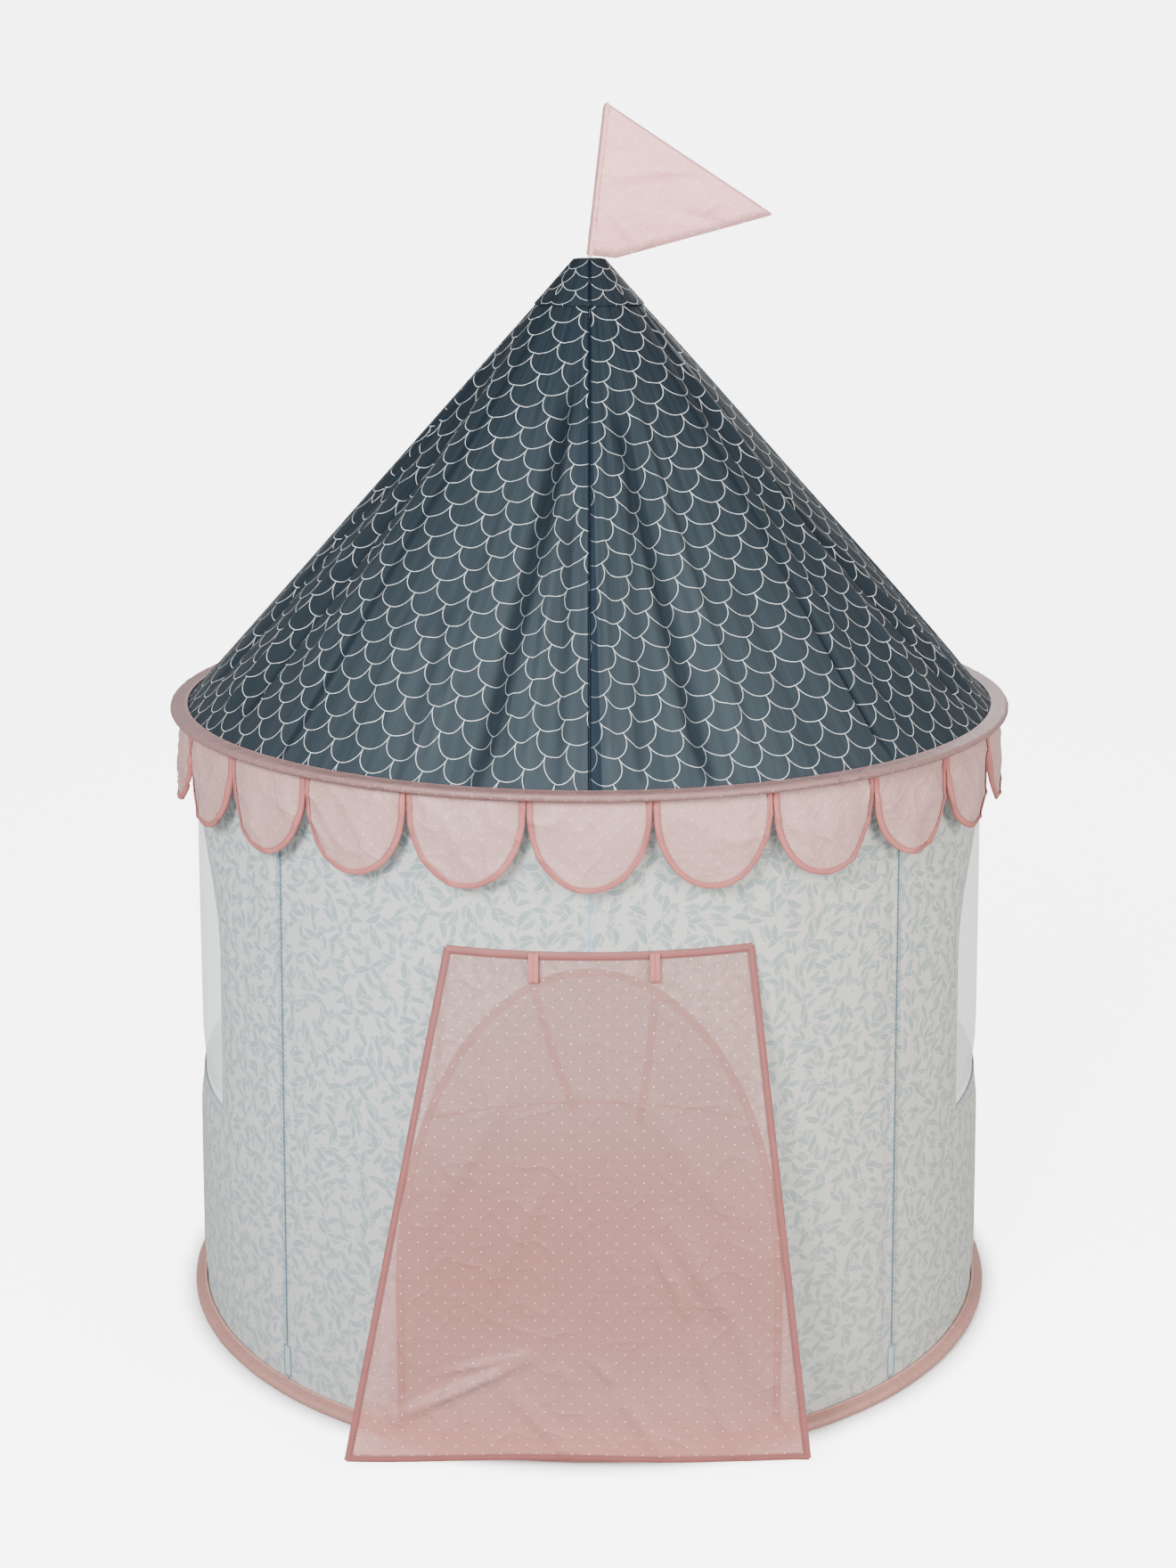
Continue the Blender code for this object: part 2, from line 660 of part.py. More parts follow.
def flap_point(across, down, back=0.0):
    """A point of the flap's front, which leaves the wall's curve and hangs flat at its foot."""
    left = FLAP_TOP_LEFT + (FLAP_BOTTOM_LEFT - FLAP_TOP_LEFT) * down
    top_x = FLAP_TOP_LEFT + flap_width(0.0) * across
    x = left + flap_width(down) * across
    top_y = -math.sqrt(FLAP_TOP_RADIUS ** 2 - top_x ** 2)
    y = top_y + (FLAP_BOTTOM_Y - top_y) * down
    fold = FLAP_FOLD * down ** 2 * math.sin(2 * math.pi * (FLAP_WAVES * across + FLAP_WAVE_START_SHARE))
    return Vector((x, y - fold + back, FLAP_TOP_HEIGHT - FLAP_HEIGHT * down))


def make_door_flap():
    """The pink flap that hangs from its top seam, and the tape round its four edges."""
    border_down = FLAP_BORDER / FLAP_HEIGHT
    gap_down = GAP / FLAP_HEIGHT

    def places(edge, count):
        return [edge + (1.0 - 2 * edge) * k / count for k in range(count + 1)]

    def grid(downs, hold, back, with_border):
        rows = []
        for down in downs:
            side = FLAP_BORDER / flap_width(down)
            across = places(side + hold / flap_width(down), FLAP_COLUMNS)
            if with_border:
                across = [0.0, *across, 1.0]
            rows.append([flap_point(u, down, back) for u in across])
        return rows

    downs = places(border_down + gap_down, FLAP_ROWS)
    sheet = cloth_sheet(grid(downs, GAP, 0.0, False), grid(downs, GAP, CLOTH, False))
    flap = add_object("door_flap", *sheet, "pink_cloth", 40.0)
    set_joint_origin(flap, FLAP_HINGE)

    downs = [0.0, *places(border_down, FLAP_ROWS), 1.0]
    proud = (FLAP_BORDER_THICKNESS - CLOTH) / 2
    rows = len(downs) - 1
    columns = FLAP_COLUMNS + 2
    keep = [[i in (0, rows - 1) or j in (0, columns - 1) for j in range(columns)]
            for i in range(rows)]
    front = grid(downs, 0.0, -proud, True)
    rear = grid(downs, 0.0, CLOTH + proud, True)
    binding = add_object("flap_binding", *cloth_sheet(front, rear, keep), "pink_tape", 40.0)
    set_joint_origin(binding, FLAP_HINGE)
    return flap


def make_tie_loops(flap):
    """Two short tape loops at the top of the flap, which hold it once it is rolled up."""
    proud = (FLAP_BORDER_THICKNESS - CLOTH) / 2 + GAP
    reach = 2 * LOOP_STRIP + LOOP_OPEN
    section = [(0.0, 0.0), (0.0, LOOP_LENGTH), (reach, LOOP_LENGTH), (reach, 0.0),
               (reach - LOOP_STRIP, 0.0), (reach - LOOP_STRIP, LOOP_LENGTH - LOOP_STRIP),
               (LOOP_STRIP, LOOP_LENGTH - LOOP_STRIP), (LOOP_STRIP, 0.0)]
    for name, x in LOOP_PLACES:
        across = (x - FLAP_TOP_LEFT) / flap_width(0.0)
        top = flap_point(across, 0.0)
        foot = flap_point(across, LOOP_LENGTH / FLAP_HEIGHT)
        out = Vector((top.x, top.y, 0.0)).normalized()
        side = Vector((-out.y, out.x, 0.0))
        fall = out * (foot - top).dot(out) + Vector((0.0, 0.0, foot.z - top.z))
        fall.normalize()
        out = fall.cross(side).normalized()
        if out.dot(top) < 0:
            out.negate()
        pivot = top + out * proud
        outlines = []
        for edge in (-LOOP_WIDTH / 2, LOOP_WIDTH / 2):
            outlines.append([pivot + side * edge + out * o + fall * f for o, f in section])
        loop = add_object(f"tie_loop_{name}", *swept_outline(outlines), "pink_tape", 40.0)
        set_joint_origin(loop, pivot)
        loop.parent = flap
        loop.matrix_parent_inverse = Matrix.Translation(-FLAP_HINGE)


def make_tie_ribbons():
    """Two long ribbons that hang inside the top of the arch, for tying the flap up."""
    for name, x, length, lean in RIBBONS:
        arch_rise = (DOOR_TOP - DOOR_SPRING_HEIGHT) * math.sqrt(1.0 - (x / DOOR_HALF_WIDTH) ** 2)
        top_height = DOOR_SPRING_HEIGHT + arch_rise - ARCH_TAPE_WIDTH / 2
        start = on_wall(x, top_height, -ARCH_TAPE_THICKNESS / 2 - GAP - RIBBON_SETBACK)
        drop = math.sqrt(length ** 2 - lean ** 2)
        inward = Vector((-start.x, -start.y, 0.0)).normalized()
        side = Vector((inward.y, -inward.x, 0.0))
        half = side * (RIBBON_WIDTH / 2)
        thick = inward * RIBBON_THICKNESS
        outlines = []
        for k in range(RIBBON_STEPS + 1):
            down = k / RIBBON_STEPS
            middle = start + side * (lean * down ** RIBBON_CURL) - Vector((0.0, 0.0, drop * down))
            outlines.append([middle - half, middle + half, middle + half + thick,
                             middle - half + thick])
        ribbon = add_object(f"tie_ribbon_{name}", *swept_outline(outlines), "pink_tape", 40.0)
        set_joint_origin(ribbon, start)


# The frame: four pole lines, each from its foot pocket to the hub

ROOF_SLOPE = math.hypot(ROOF_RUN, ROOF_RISE)
CORNER_SHARE = (ROOF_EDGE_RADIUS - POLE_INSET * math.sin(ROOF_PITCH) - POLE_CORNER_RADIUS) / ROOF_RUN
HUB_TOP = APEX_HEIGHT - CLOTH
FOOT_CAP_RADIUS = POLE_RADIUS + SOCKET_CLEARANCE + FOOT_CAP_WALL


def share_at_radius(radius):
    """Share of the way up the roof where a pole's centre line has a given radius."""
    return (ROOF_EDGE_RADIUS - POLE_INSET * math.sin(ROOF_PITCH) - radius) / ROOF_RUN


def share_from_corner(distance):
    """Share of the way up the roof at a distance along the pole from the bend at the eaves."""
    return CORNER_SHARE + distance / ROOF_SLOPE


def across_pole(angle):
    """The level direction square to a pole line, along the wall."""
    return Vector((math.cos(math.radians(angle)), math.sin(math.radians(angle)), 0.0))


def roof_pole_point(angle, share):
    """A point on a roof pole's centre line, which lies a fixed depth under the ridge."""
    return roof_point(angle, share, POLE_INSET)


def make_pole_line(number, angle):
    """One pole line: foot pocket, cap, wall pole, elbow, roof pole and their fabric channels."""
    tangent = across_pole(angle)
    corner = roof_pole_point(angle, CORNER_SHARE)
    foot = polar(wall_radius(WALL_FOOT) - POLE_INSET, angle, WALL_FOOT)
    rise = (corner - foot).normalized()
    length = (corner - foot).length

    pocket_radius = CHANNEL_RADIUS
    pocket_bore = FOOT_CAP_RADIUS + GAP
    pocket = [(0.0, pocket_radius), (POCKET_LENGTH, pocket_radius), (POCKET_LENGTH, pocket_bore),
              (TAPE, pocket_bore)]
    add_object(f"foot_pocket_{number}", *turned_on_axis(foot, rise, pocket, SOCKET_SIDES, tangent),
               "lining")

    cap_foot = foot + rise * (TAPE + GAP)
    cap_bore = POLE_RADIUS + SOCKET_CLEARANCE
    cap = [(0.0, FOOT_CAP_RADIUS), (FOOT_CAP_LENGTH, FOOT_CAP_RADIUS), (FOOT_CAP_LENGTH, cap_bore),
           (FOOT_CAP_END, cap_bore)]
    add_object(f"pole_foot_cap_{number}", *turned_on_axis(cap_foot, rise, cap, SOCKET_SIDES, tangent),
               "foot_plastic")

    pole_start = TAPE + GAP + FOOT_CAP_END + GAP
    pole_end = length - ELBOW_BEND - SOCKET_BORE
    middle = (pole_start + pole_end) / 2
    wall_pole = [(pole_start, POLE_RADIUS), (middle - FERRULE_LENGTH / 2, POLE_RADIUS),
                 (middle - FERRULE_LENGTH / 2, FERRULE_RADIUS),
                 (middle + FERRULE_LENGTH / 2, FERRULE_RADIUS),
                 (middle + FERRULE_LENGTH / 2, POLE_RADIUS), (pole_end, POLE_RADIUS)]
    add_object(f"wall_pole_{number}", *turned_on_axis(foot, rise, wall_pole, POLE_SIDES, tangent),
               "rod")

    low = foot + rise * (POCKET_LENGTH + CHANNEL_MARGIN)
    high = foot + rise * (length - ELBOW_LEG - CHANNEL_MARGIN)
    radii = [CHANNEL_RADIUS] * 2
    tube = swept_rod([low, high], radii, POLE_SIDES, tangent, CHANNEL_BORE)
    add_object(f"wall_pole_sleeve_{number}", *tube, "lining")

    bend = roof_pole_point(angle, share_from_corner(ELBOW_BEND))
    path = [corner - rise * ELBOW_LEG, corner - rise * ELBOW_BEND]
    for k in range(1, ELBOW_STEPS):
        t = k / ELBOW_STEPS
        path.append(path[1] * (1 - t) ** 2 + corner * (2 * t * (1 - t)) + bend * t ** 2)
    path += [bend, roof_pole_point(angle, share_from_corner(ELBOW_LEG))]
    radii = [SOCKET_RADIUS] * len(path)
    elbow = swept_rod(path, radii, SOCKET_SIDES, tangent, SOCKET_BORE)
    add_object(f"eaves_elbow_{number}", *elbow, "socket_plastic")

    mouth = share_at_radius(HUB_SOCKET_REACH)
    end = share_at_radius(HUB_SOCKET_STOP + GAP)
    channel_start = share_from_corner(ELBOW_LEG + CHANNEL_MARGIN)
    channel_end = mouth - CHANNEL_MARGIN / ROOF_SLOPE
    ferrule = FERRULE_LENGTH / 2 / ROOF_SLOPE
    thick = [ROOF_FERRULE_SHARE - ferrule, ROOF_FERRULE_SHARE + ferrule]
    lower = [channel_start, *ROOF_POLE_LOW_SHARES, thick[0]]
    upper = [thick[1], *ROOF_POLE_HIGH_SHARES, channel_end]
    below = [share_from_corner(ELBOW_BEND + SOCKET_BORE), share_from_corner(ELBOW_LEG), *lower]
    above = [*upper, mouth, end]
    path = [roof_pole_point(angle, share) for share in (*below, *thick, *above)]
    radii = [POLE_RADIUS] * len(below) + [FERRULE_RADIUS] * 2 + [POLE_RADIUS] * len(above)
    rod = swept_rod(path, radii, POLE_SIDES, tangent)
    add_object(f"roof_pole_{number}", *rod, "rod")
    path = [roof_pole_point(angle, share) for share in (*lower, *upper)]
    tube = swept_rod(path, [CHANNEL_RADIUS] * len(path), POLE_SIDES, tangent, CHANNEL_BORE)
    add_object(f"roof_pole_sleeve_{number}", *tube, "lining")


MAST_RISE = Vector((math.sin(math.radians(MAST_LEAN)), 0.0, math.cos(math.radians(MAST_LEAN))))
MAST_MOUTH = Vector((0.0, 0.0, HUB_TOP))
FLAG_FOOT = MAST_MOUTH + MAST_RISE * (APEX_HEIGHT + TAPE - HUB_TOP + FLAG_CLEAR_OF_ROOF)


def make_hub():
    """The apex hub: a core with a sloping socket for each roof pole and a hole for the mast."""
    bottom = MAST_MOUTH - Vector((0.0, 0.0, HUB_HEIGHT))
    core = [(0.0, HUB_RADIUS - HUB_CHAMFER), (HUB_CHAMFER, HUB_RADIUS),
            (HUB_HEIGHT - HUB_CHAMFER, HUB_RADIUS), (HUB_HEIGHT, HUB_RADIUS - HUB_CHAMFER)]
    hub = add_object("apex_hub", *turned_on_axis(bottom, Vector((0, 0, 1)), core, HUB_SIDES),
                     "socket_plastic")
    root = share_at_radius(HUB_RADIUS)
    mouth = share_at_radius(HUB_SOCKET_REACH)
    stop = share_at_radius(HUB_SOCKET_STOP)
    for angle in POLE_ANGLES:
        tangent = across_pole(angle)
        socket = cylinder_between("socket", roof_pole_point(angle, root),
                                  roof_pole_point(angle, mouth), SOCKET_RADIUS, POLE_SIDES, tangent)
        apply_boolean(hub, "UNION", socket)
    for angle in POLE_ANGLES:
        inner_end = roof_pole_point(angle, stop)
        outer_end = roof_pole_point(angle, mouth)
        past = outer_end + (outer_end - inner_end).normalized() * CUT_OVERRUN
        bore = cylinder_between("bore", inner_end, past, SOCKET_BORE, POLE_SIDES, across_pole(angle))
        apply_boolean(hub, "DIFFERENCE", bore)
    seat = MAST_MOUTH - MAST_RISE * MAST_SEAT
    mast_bore = cylinder_between("mast_bore", seat, MAST_MOUTH + MAST_RISE * CUT_OVERRUN,
                                 MAST_RADIUS + SOCKET_CLEARANCE, MAST_SIDES)
    apply_boolean(hub, "DIFFERENCE", mast_bore)
    hub.data.shade_smooth()
    hub.data.set_sharp_from_angle(angle=math.radians(35.0))


def make_mast():
    """The thin mast, pushed into the hub with a slight lean."""
    seat = MAST_MOUTH - MAST_RISE * (MAST_SEAT - GAP)
    top = FLAG_FOOT + MAST_RISE * (FLAG_HOIST - FLAG_SLEEVE_END - GAP)
    length = (top - seat).length
    stations = [(0.0, MAST_RADIUS), (length - MAST_CHAMFER, MAST_RADIUS),
                (length, MAST_RADIUS - MAST_CHAMFER)]
    mast = add_object("flag_mast", *turned_on_axis(seat, MAST_RISE, stations, MAST_SIDES), "rod")
    return set_joint_origin(mast, MAST_MOUTH)


def make_flag(mast):
    """The pennant: a three-cornered cloth whose hoist is a sleeve round the mast."""
    fly = Vector((math.cos(math.radians(MAST_LEAN)), 0.0, -math.sin(math.radians(MAST_LEAN))))
    sleeve_radius = MAST_RADIUS + SOCKET_CLEARANCE + FLAG_SLEEVE_WALL
    tip_rise = FLAG_HOIST * FLAG_TIP_SHARE
    front = []
    back = []
    for i in range(FLAG_ROWS + 1):
        row_front = []
        row_back = []
        for j in range(FLAG_COLUMNS + 1):
            out = FLAG_BLUNT_SHARE * j / FLAG_COLUMNS
            upper = FLAG_HOIST + (tip_rise - FLAG_HOIST) * out
            past_foot = max(0.0, (out - FLAG_FOOT_SHARE) / (1.0 - FLAG_FOOT_SHARE))
            lower = tip_rise * past_foot
            rise = lower + (upper - lower) * i / FLAG_ROWS
            wave = FLAG_WAVE * out * math.sin(2 * math.pi * out)
            point = FLAG_FOOT + fly * (FLAG_FLY * out) + MAST_RISE * rise
            row_front.append(point + Vector((0.0, wave - FLAG_THICKNESS / 2, 0.0)))
            row_back.append(point + Vector((0.0, wave + FLAG_THICKNESS / 2, 0.0)))
        front.append(row_front)
        back.append(row_back)
    flag = add_object("flag", *cloth_sheet(front, back), "pink_cloth", 40.0)
    sleeve = cylinder_between("sleeve", FLAG_FOOT, FLAG_FOOT + MAST_RISE * FLAG_HOIST,
                              sleeve_radius, MAST_SIDES)
    apply_boolean(flag, "UNION", sleeve)
    bore = cylinder_between("flag_bore", FLAG_FOOT - MAST_RISE * CUT_OVERRUN,
                            FLAG_FOOT + MAST_RISE * (FLAG_HOIST - FLAG_SLEEVE_END),
                            MAST_RADIUS + SOCKET_CLEARANCE, MAST_SIDES)
    apply_boolean(flag, "DIFFERENCE", bore)
    flag.data.materials.clear()
    flag.data.materials.append(finish("pink_cloth"))
    set_joint_origin(flag, MAST_MOUTH)
    flag.parent = mast
    flag.matrix_parent_inverse = Matrix.Translation(-MAST_MOUTH)


def main():
    """Clears the scene and builds every piece of the tent."""
    for item in list(bpy.data.objects):
        bpy.data.objects.remove(item, do_unlink=True)
    make_base_ring()
    make_eaves_ring()
    make_wall_panels()
    make_window_nets()
    make_door_binding()
    make_roof_panels()
    make_apex_cap()
    make_valance()
    flap = make_door_flap()
    make_tie_loops(flap)
    make_tie_ribbons()
    for number, angle in enumerate(POLE_ANGLES, start=1):
        make_pole_line(number, angle)
    make_hub()
    mast = make_mast()
    make_flag(mast)


main()
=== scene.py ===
# %% [markdown]
# # A round play tent with a cone roof
# The packed parts of the tent are loaded first and never moved. They hold the true size of every
# hoop, rod, socket and cloth panel. Each cell below dresses one of them: the cloth panels are
# replaced by thin, wrinkled sheets with their print, seams and hems, and the rods, sockets and
# caps keep their own shape and get a better finish. The door faces -Y and +Z is up.

# %% Load the frame
import json
import math

import bpy
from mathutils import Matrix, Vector, noise


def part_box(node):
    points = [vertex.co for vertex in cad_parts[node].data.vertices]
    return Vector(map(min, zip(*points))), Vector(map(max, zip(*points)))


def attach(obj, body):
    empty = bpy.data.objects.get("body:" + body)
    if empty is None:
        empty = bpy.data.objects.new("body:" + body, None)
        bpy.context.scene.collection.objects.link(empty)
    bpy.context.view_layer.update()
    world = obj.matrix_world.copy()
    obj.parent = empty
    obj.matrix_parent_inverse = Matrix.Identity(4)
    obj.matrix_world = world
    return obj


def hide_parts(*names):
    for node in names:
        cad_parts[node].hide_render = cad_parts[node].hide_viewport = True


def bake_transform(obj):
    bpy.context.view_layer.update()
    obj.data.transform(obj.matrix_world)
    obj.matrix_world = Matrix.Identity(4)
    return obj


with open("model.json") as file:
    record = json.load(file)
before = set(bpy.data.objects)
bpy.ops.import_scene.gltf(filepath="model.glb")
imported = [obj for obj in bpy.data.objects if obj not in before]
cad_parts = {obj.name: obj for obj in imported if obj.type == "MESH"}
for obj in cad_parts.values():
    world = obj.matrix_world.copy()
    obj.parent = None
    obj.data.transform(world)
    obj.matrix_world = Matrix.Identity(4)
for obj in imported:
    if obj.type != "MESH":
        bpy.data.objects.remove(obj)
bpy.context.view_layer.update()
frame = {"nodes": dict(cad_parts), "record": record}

# %% [markdown]
# ## Camera and light
# A tent is photographed from a little above the eye of a child, with a long enough lens to keep
# its round rims calm. The light is what a pale studio gives: a soft source from the front left that
# draws the folds, a weaker and warmer one from the right, a dim one behind, and a pale world that
# fills the shadows from all sides. More or harder lights would print shadows on the thin cloth.

# %% Camera
CAMERA_PLACE = Vector((-0.0016, -2.756, 1.390))
CAMERA_TILT = math.radians(90.0 - 14.84)
CAMERA_LENS = 50.75

camera_data = bpy.data.cameras.new("camera")
camera_data.sensor_fit = "VERTICAL"
camera_data.sensor_height = 36.0
camera_data.lens = CAMERA_LENS
camera = bpy.data.objects.new("camera", camera_data)
camera.location = CAMERA_PLACE
camera.rotation_euler = (CAMERA_TILT, 0.0, 0.0)
bpy.context.scene.collection.objects.link(camera)
bpy.context.scene.camera = camera
print("camera looks down by", round(90.0 - math.degrees(CAMERA_TILT), 2), "degrees")


# %% Light
def add_soft_light(name, place, target, size, power, colour):
    """One square area light that faces a point."""
    data = bpy.data.lights.new(name, "AREA")
    data.size = size
    data.energy = power
    data.color = colour
    light = bpy.data.objects.new(name, data)
    light.location = place
    light.rotation_euler = (Vector(target) - Vector(place)).to_track_quat("-Z", "Y").to_euler()
    bpy.context.scene.collection.objects.link(light)
    return light


MIDDLE = (0.0, 0.0, 0.7)
add_soft_light("key", (-1.5, -3.5, 2.5), MIDDLE, 1.2, 350.0, (0.97, 0.99, 1.0))
add_soft_light("fill", (2.6, -3.0, 1.6), MIDDLE, 2.4, 200.0, (1.0, 0.955, 0.89))
add_soft_light("back", (0.6, 3.0, 2.6), MIDDLE, 2.2, 70.0, (1.0, 1.0, 1.0))

world = bpy.data.worlds.new("studio")
world.use_nodes = True
world.node_tree.nodes["Background"].inputs["Color"].default_value = (0.93, 0.94, 0.95, 1.0)
world.node_tree.nodes["Background"].inputs["Strength"].default_value = 0.85
bpy.context.scene.world = world

# %% [markdown]
# ## Shader maths as Python
# Prints such as scales, leaves and dots are sums on the cloth's own map, so the nodes are written
# as expressions. `Value` wraps one socket; `Nodes` makes the nodes of one material.


# %% Sums on sockets
def sum_of(operation, swapped=False):
    """A method that adds one Math node; the reflected operators swap its two values."""
    def method(self, *others):
        values = (self, *others)[::-1] if swapped else (self, *others)
        return self.nodes.add("ShaderNodeMath", {"operation": operation}, values)
    return method


class Value:
    """A socket that takes part in Python sums; each operator adds one Math node."""

    def __init__(self, nodes, socket):
        self.nodes = nodes
        self.socket = socket

    __add__ = sum_of("ADD")
    __radd__ = sum_of("ADD", swapped=True)
    __sub__ = sum_of("SUBTRACT")
    __rsub__ = sum_of("SUBTRACT", swapped=True)
    __mul__ = sum_of("MULTIPLY")
    __rmul__ = sum_of("MULTIPLY", swapped=True)
    __truediv__ = sum_of("DIVIDE")
    __pow__ = sum_of("POWER")
    __mod__ = sum_of("FLOORED_MODULO")
    __lt__ = sum_of("LESS_THAN")
    __gt__ = sum_of("GREATER_THAN")
    __abs__ = sum_of("ABSOLUTE")
    ceil = sum_of("CEIL")
    round = sum_of("ROUND")
    root = sum_of("SQRT")
    sin = sum_of("SINE")
    cos = sum_of("COSINE")
    least = sum_of("MINIMUM")
    most = sum_of("MAXIMUM")

    def output(self, index):
        """Another output of the node that gave this value."""
        return Value(self.nodes, self.socket.node.outputs[index])

    def ease(self, low, high):
        """Rises softly from 0 at low to 1 at high."""
        settings = {"interpolation_type": "SMOOTHSTEP", "clamp": True}
        return self.nodes.add("ShaderNodeMapRange", settings,
                              {"Value": self, "From Min": low, "From Max": high})


print("sums that a socket takes part in:", sum(callable(part) for part in vars(Value).values()))


# %% Nodes of one material
class Nodes:
    """The node tree of one material, with its shader ready to be fed."""

    def __init__(self, name):
        self.material = bpy.data.materials.new(name)
        self.material.use_nodes = True
        self.tree = self.material.node_tree
        self.shader = self.tree.nodes["Principled BSDF"]

    def add(self, kind, settings=None, values=(), output=0):
        """Adds a node, sets it up, feeds it values or links, and gives one output."""
        node = self.tree.nodes.new(kind)
        for key, setting in (settings or {}).items():
            setattr(node, key, setting)
        pairs = values.items() if isinstance(values, dict) else enumerate(values)
        for key, value in pairs:
            self.feed(node.inputs[key], value)
        return Value(self, node.outputs[output])

    def feed(self, socket, value):
        """Sets a socket to a number or a colour, or links it."""
        if isinstance(value, Value):
            self.tree.links.new(value.socket, socket)
        elif isinstance(value, tuple) and len(value) == 3 and len(socket.default_value) == 4:
            socket.default_value = (*value, 1.0)
        else:
            socket.default_value = value

    def split(self, vector):
        """The X and Y parts of a vector."""
        first = self.add("ShaderNodeSeparateXYZ", {}, (vector,))
        return first, first.output(1)

    def map(self, name="UVMap"):
        """The cloth's own map, in metres."""
        return self.add("ShaderNodeUVMap", {"uv_map": name})

    def place(self):
        """Object coordinates, in metres."""
        return self.add("ShaderNodeTexCoord", output=3)

    def noise(self, vector, scale, detail=2.0, rough=0.5):
        """Soft noise from 0 to 1."""
        return self.add("ShaderNodeTexNoise", {"noise_dimensions": "3D"},
                        {"Vector": vector, "Scale": scale, "Detail": detail, "Roughness": rough})

    def streaks(self, across, along, depth=0.0):
        """A place on a plane of its own, so that noise on it runs in long streaks."""
        return self.add("ShaderNodeCombineXYZ", {}, (across, along, depth))

    def mix(self, factor, first, second):
        """A colour between two colours."""
        return self.add("ShaderNodeMix", {"data_type": "RGBA"}, {0: factor, 6: first, 7: second}, 2)

    def multiply(self, colour, tint):
        """A colour darkened or warmed by another."""
        return self.add("ShaderNodeMix", {"data_type": "RGBA", "blend_type": "MULTIPLY"},
                        {0: 1.0, 6: colour, 7: tint}, 2)

    def bump(self, height, distance, strength):
        """A height, in units of the given distance, as the shader's normal."""
        normal = self.add("ShaderNodeBump", {}, {"Strength": strength, "Distance": distance,
                                                 "Height": height})
        self.feed(self.shader.inputs["Normal"], normal)

    def set(self, name, number):
        """Sets one of the shader's own sockets to a number that holds all over."""
        self.shader.inputs[name].default_value = number

    def finish(self, **sockets):
        """Feeds the shader's sockets by name, with underscores for spaces."""
        for name, value in sockets.items():
            self.feed(self.shader.inputs[name.replace("_", " ")], value)
        return self.material


print("helpers of a material:", [name for name in vars(Nodes) if name[0] != "_"])

# %% [markdown]
# ## The cloths
# The roof, walls and flap are the same thin woven polyester, printed in different ways. It could
# be shown as one flat colour, but what makes it read as cloth is the print at its true size, the
# faint weave, and the darker lines where it is sewn. Each print is worked out on the cloth's own
# map, so it bends with the folds and breaks at the seams as the cut pieces do.

# %% Helpers that several cloths share
BUMP = 0.0004
THREAD_PITCH = 0.0007
STITCH_PITCH = 0.0032
STITCH_FILL = 0.72
RIB_PITCH = 0.0011
NET_PITCH = 0.0016


def weave(nodes, cloth_map):
    """The height of a plain weave, from 0 to 1."""
    across, along = nodes.split(cloth_map)
    turn = 2 * math.pi / THREAD_PITCH
    return ((across * turn).sin() * (along * turn).sin()) * 0.5 + 0.5


def stitches(along, across, place, pitch=STITCH_PITCH, width=0.0007):
    """A row of machine stitches at a place across the cloth: 1 on the thread, 0 beside it."""
    on_line = abs(across - place) < width
    on_thread = (along / pitch) % 1.0 < STITCH_FILL
    return on_line * on_thread


print("weave and stitches ready")

# %% [markdown]
# ## Roof cloth
# The roof is printed with white fish scales on slate blue. A picture of the print would do too, but
# it would blur close up, so each scale's outline is worked out as the distance from a circle. Of
# the scales that cover a point, the highest one hides the others, as on a fish. The blue is paler
# towards the brim. Shade is painted darker into the hollows of the folds, down the roof's sides and
# in a strip beside one seam of each gore, a painted highlight lies on the raised folds and streaks,
# and the seams themselves are sewn dark.

# %% Fish scales
SCALE_HALF = 0.0226
SCALE_PERIOD = 0.0488
SCALE_LINE = 0.00062
ROOF_DEEP = (0.0080, 0.0138, 0.0200)
ROOF_PALE = (0.0365, 0.0470, 0.0555)
ROOF_PRINT = (0.78, 0.80, 0.81)


def scale_lines(nodes, across, down):
    """White outlines of U-shaped scales in level rows; a higher row lies over the next."""
    column = (across / SCALE_HALF).round()
    beside_near = abs(across - column * SCALE_HALF)
    odd = abs(column) % 2.0 * 0.5

    def scale(beside, shift):
        """Where the highest scale of a column that covers this point sits, and its outline."""
        half_chord = (SCALE_HALF ** 2 - beside * beside).most(0.0).root()
        middle = (((down - half_chord) / SCALE_PERIOD - shift).ceil() + shift) * SCALE_PERIOD
        below = (down - middle).most(0.0)
        away = (beside * beside + below * below).root()
        width = SCALE_LINE * (0.5 + 0.5 * below.ease(0.0, 0.004))
        line = 1.0 - ((SCALE_HALF - away) / width).ease(0.75, 1.15)
        return middle, line

    near_middle, near_line = scale(beside_near, odd)
    far_middle, far_line = scale(SCALE_HALF - beside_near, 0.5 - odd)
    far_on_top = far_middle < near_middle
    return far_line * far_on_top + near_line * (1.0 - far_on_top)


print("a scale is", 2 * SCALE_HALF, "wide, in rows that repeat every", SCALE_PERIOD)


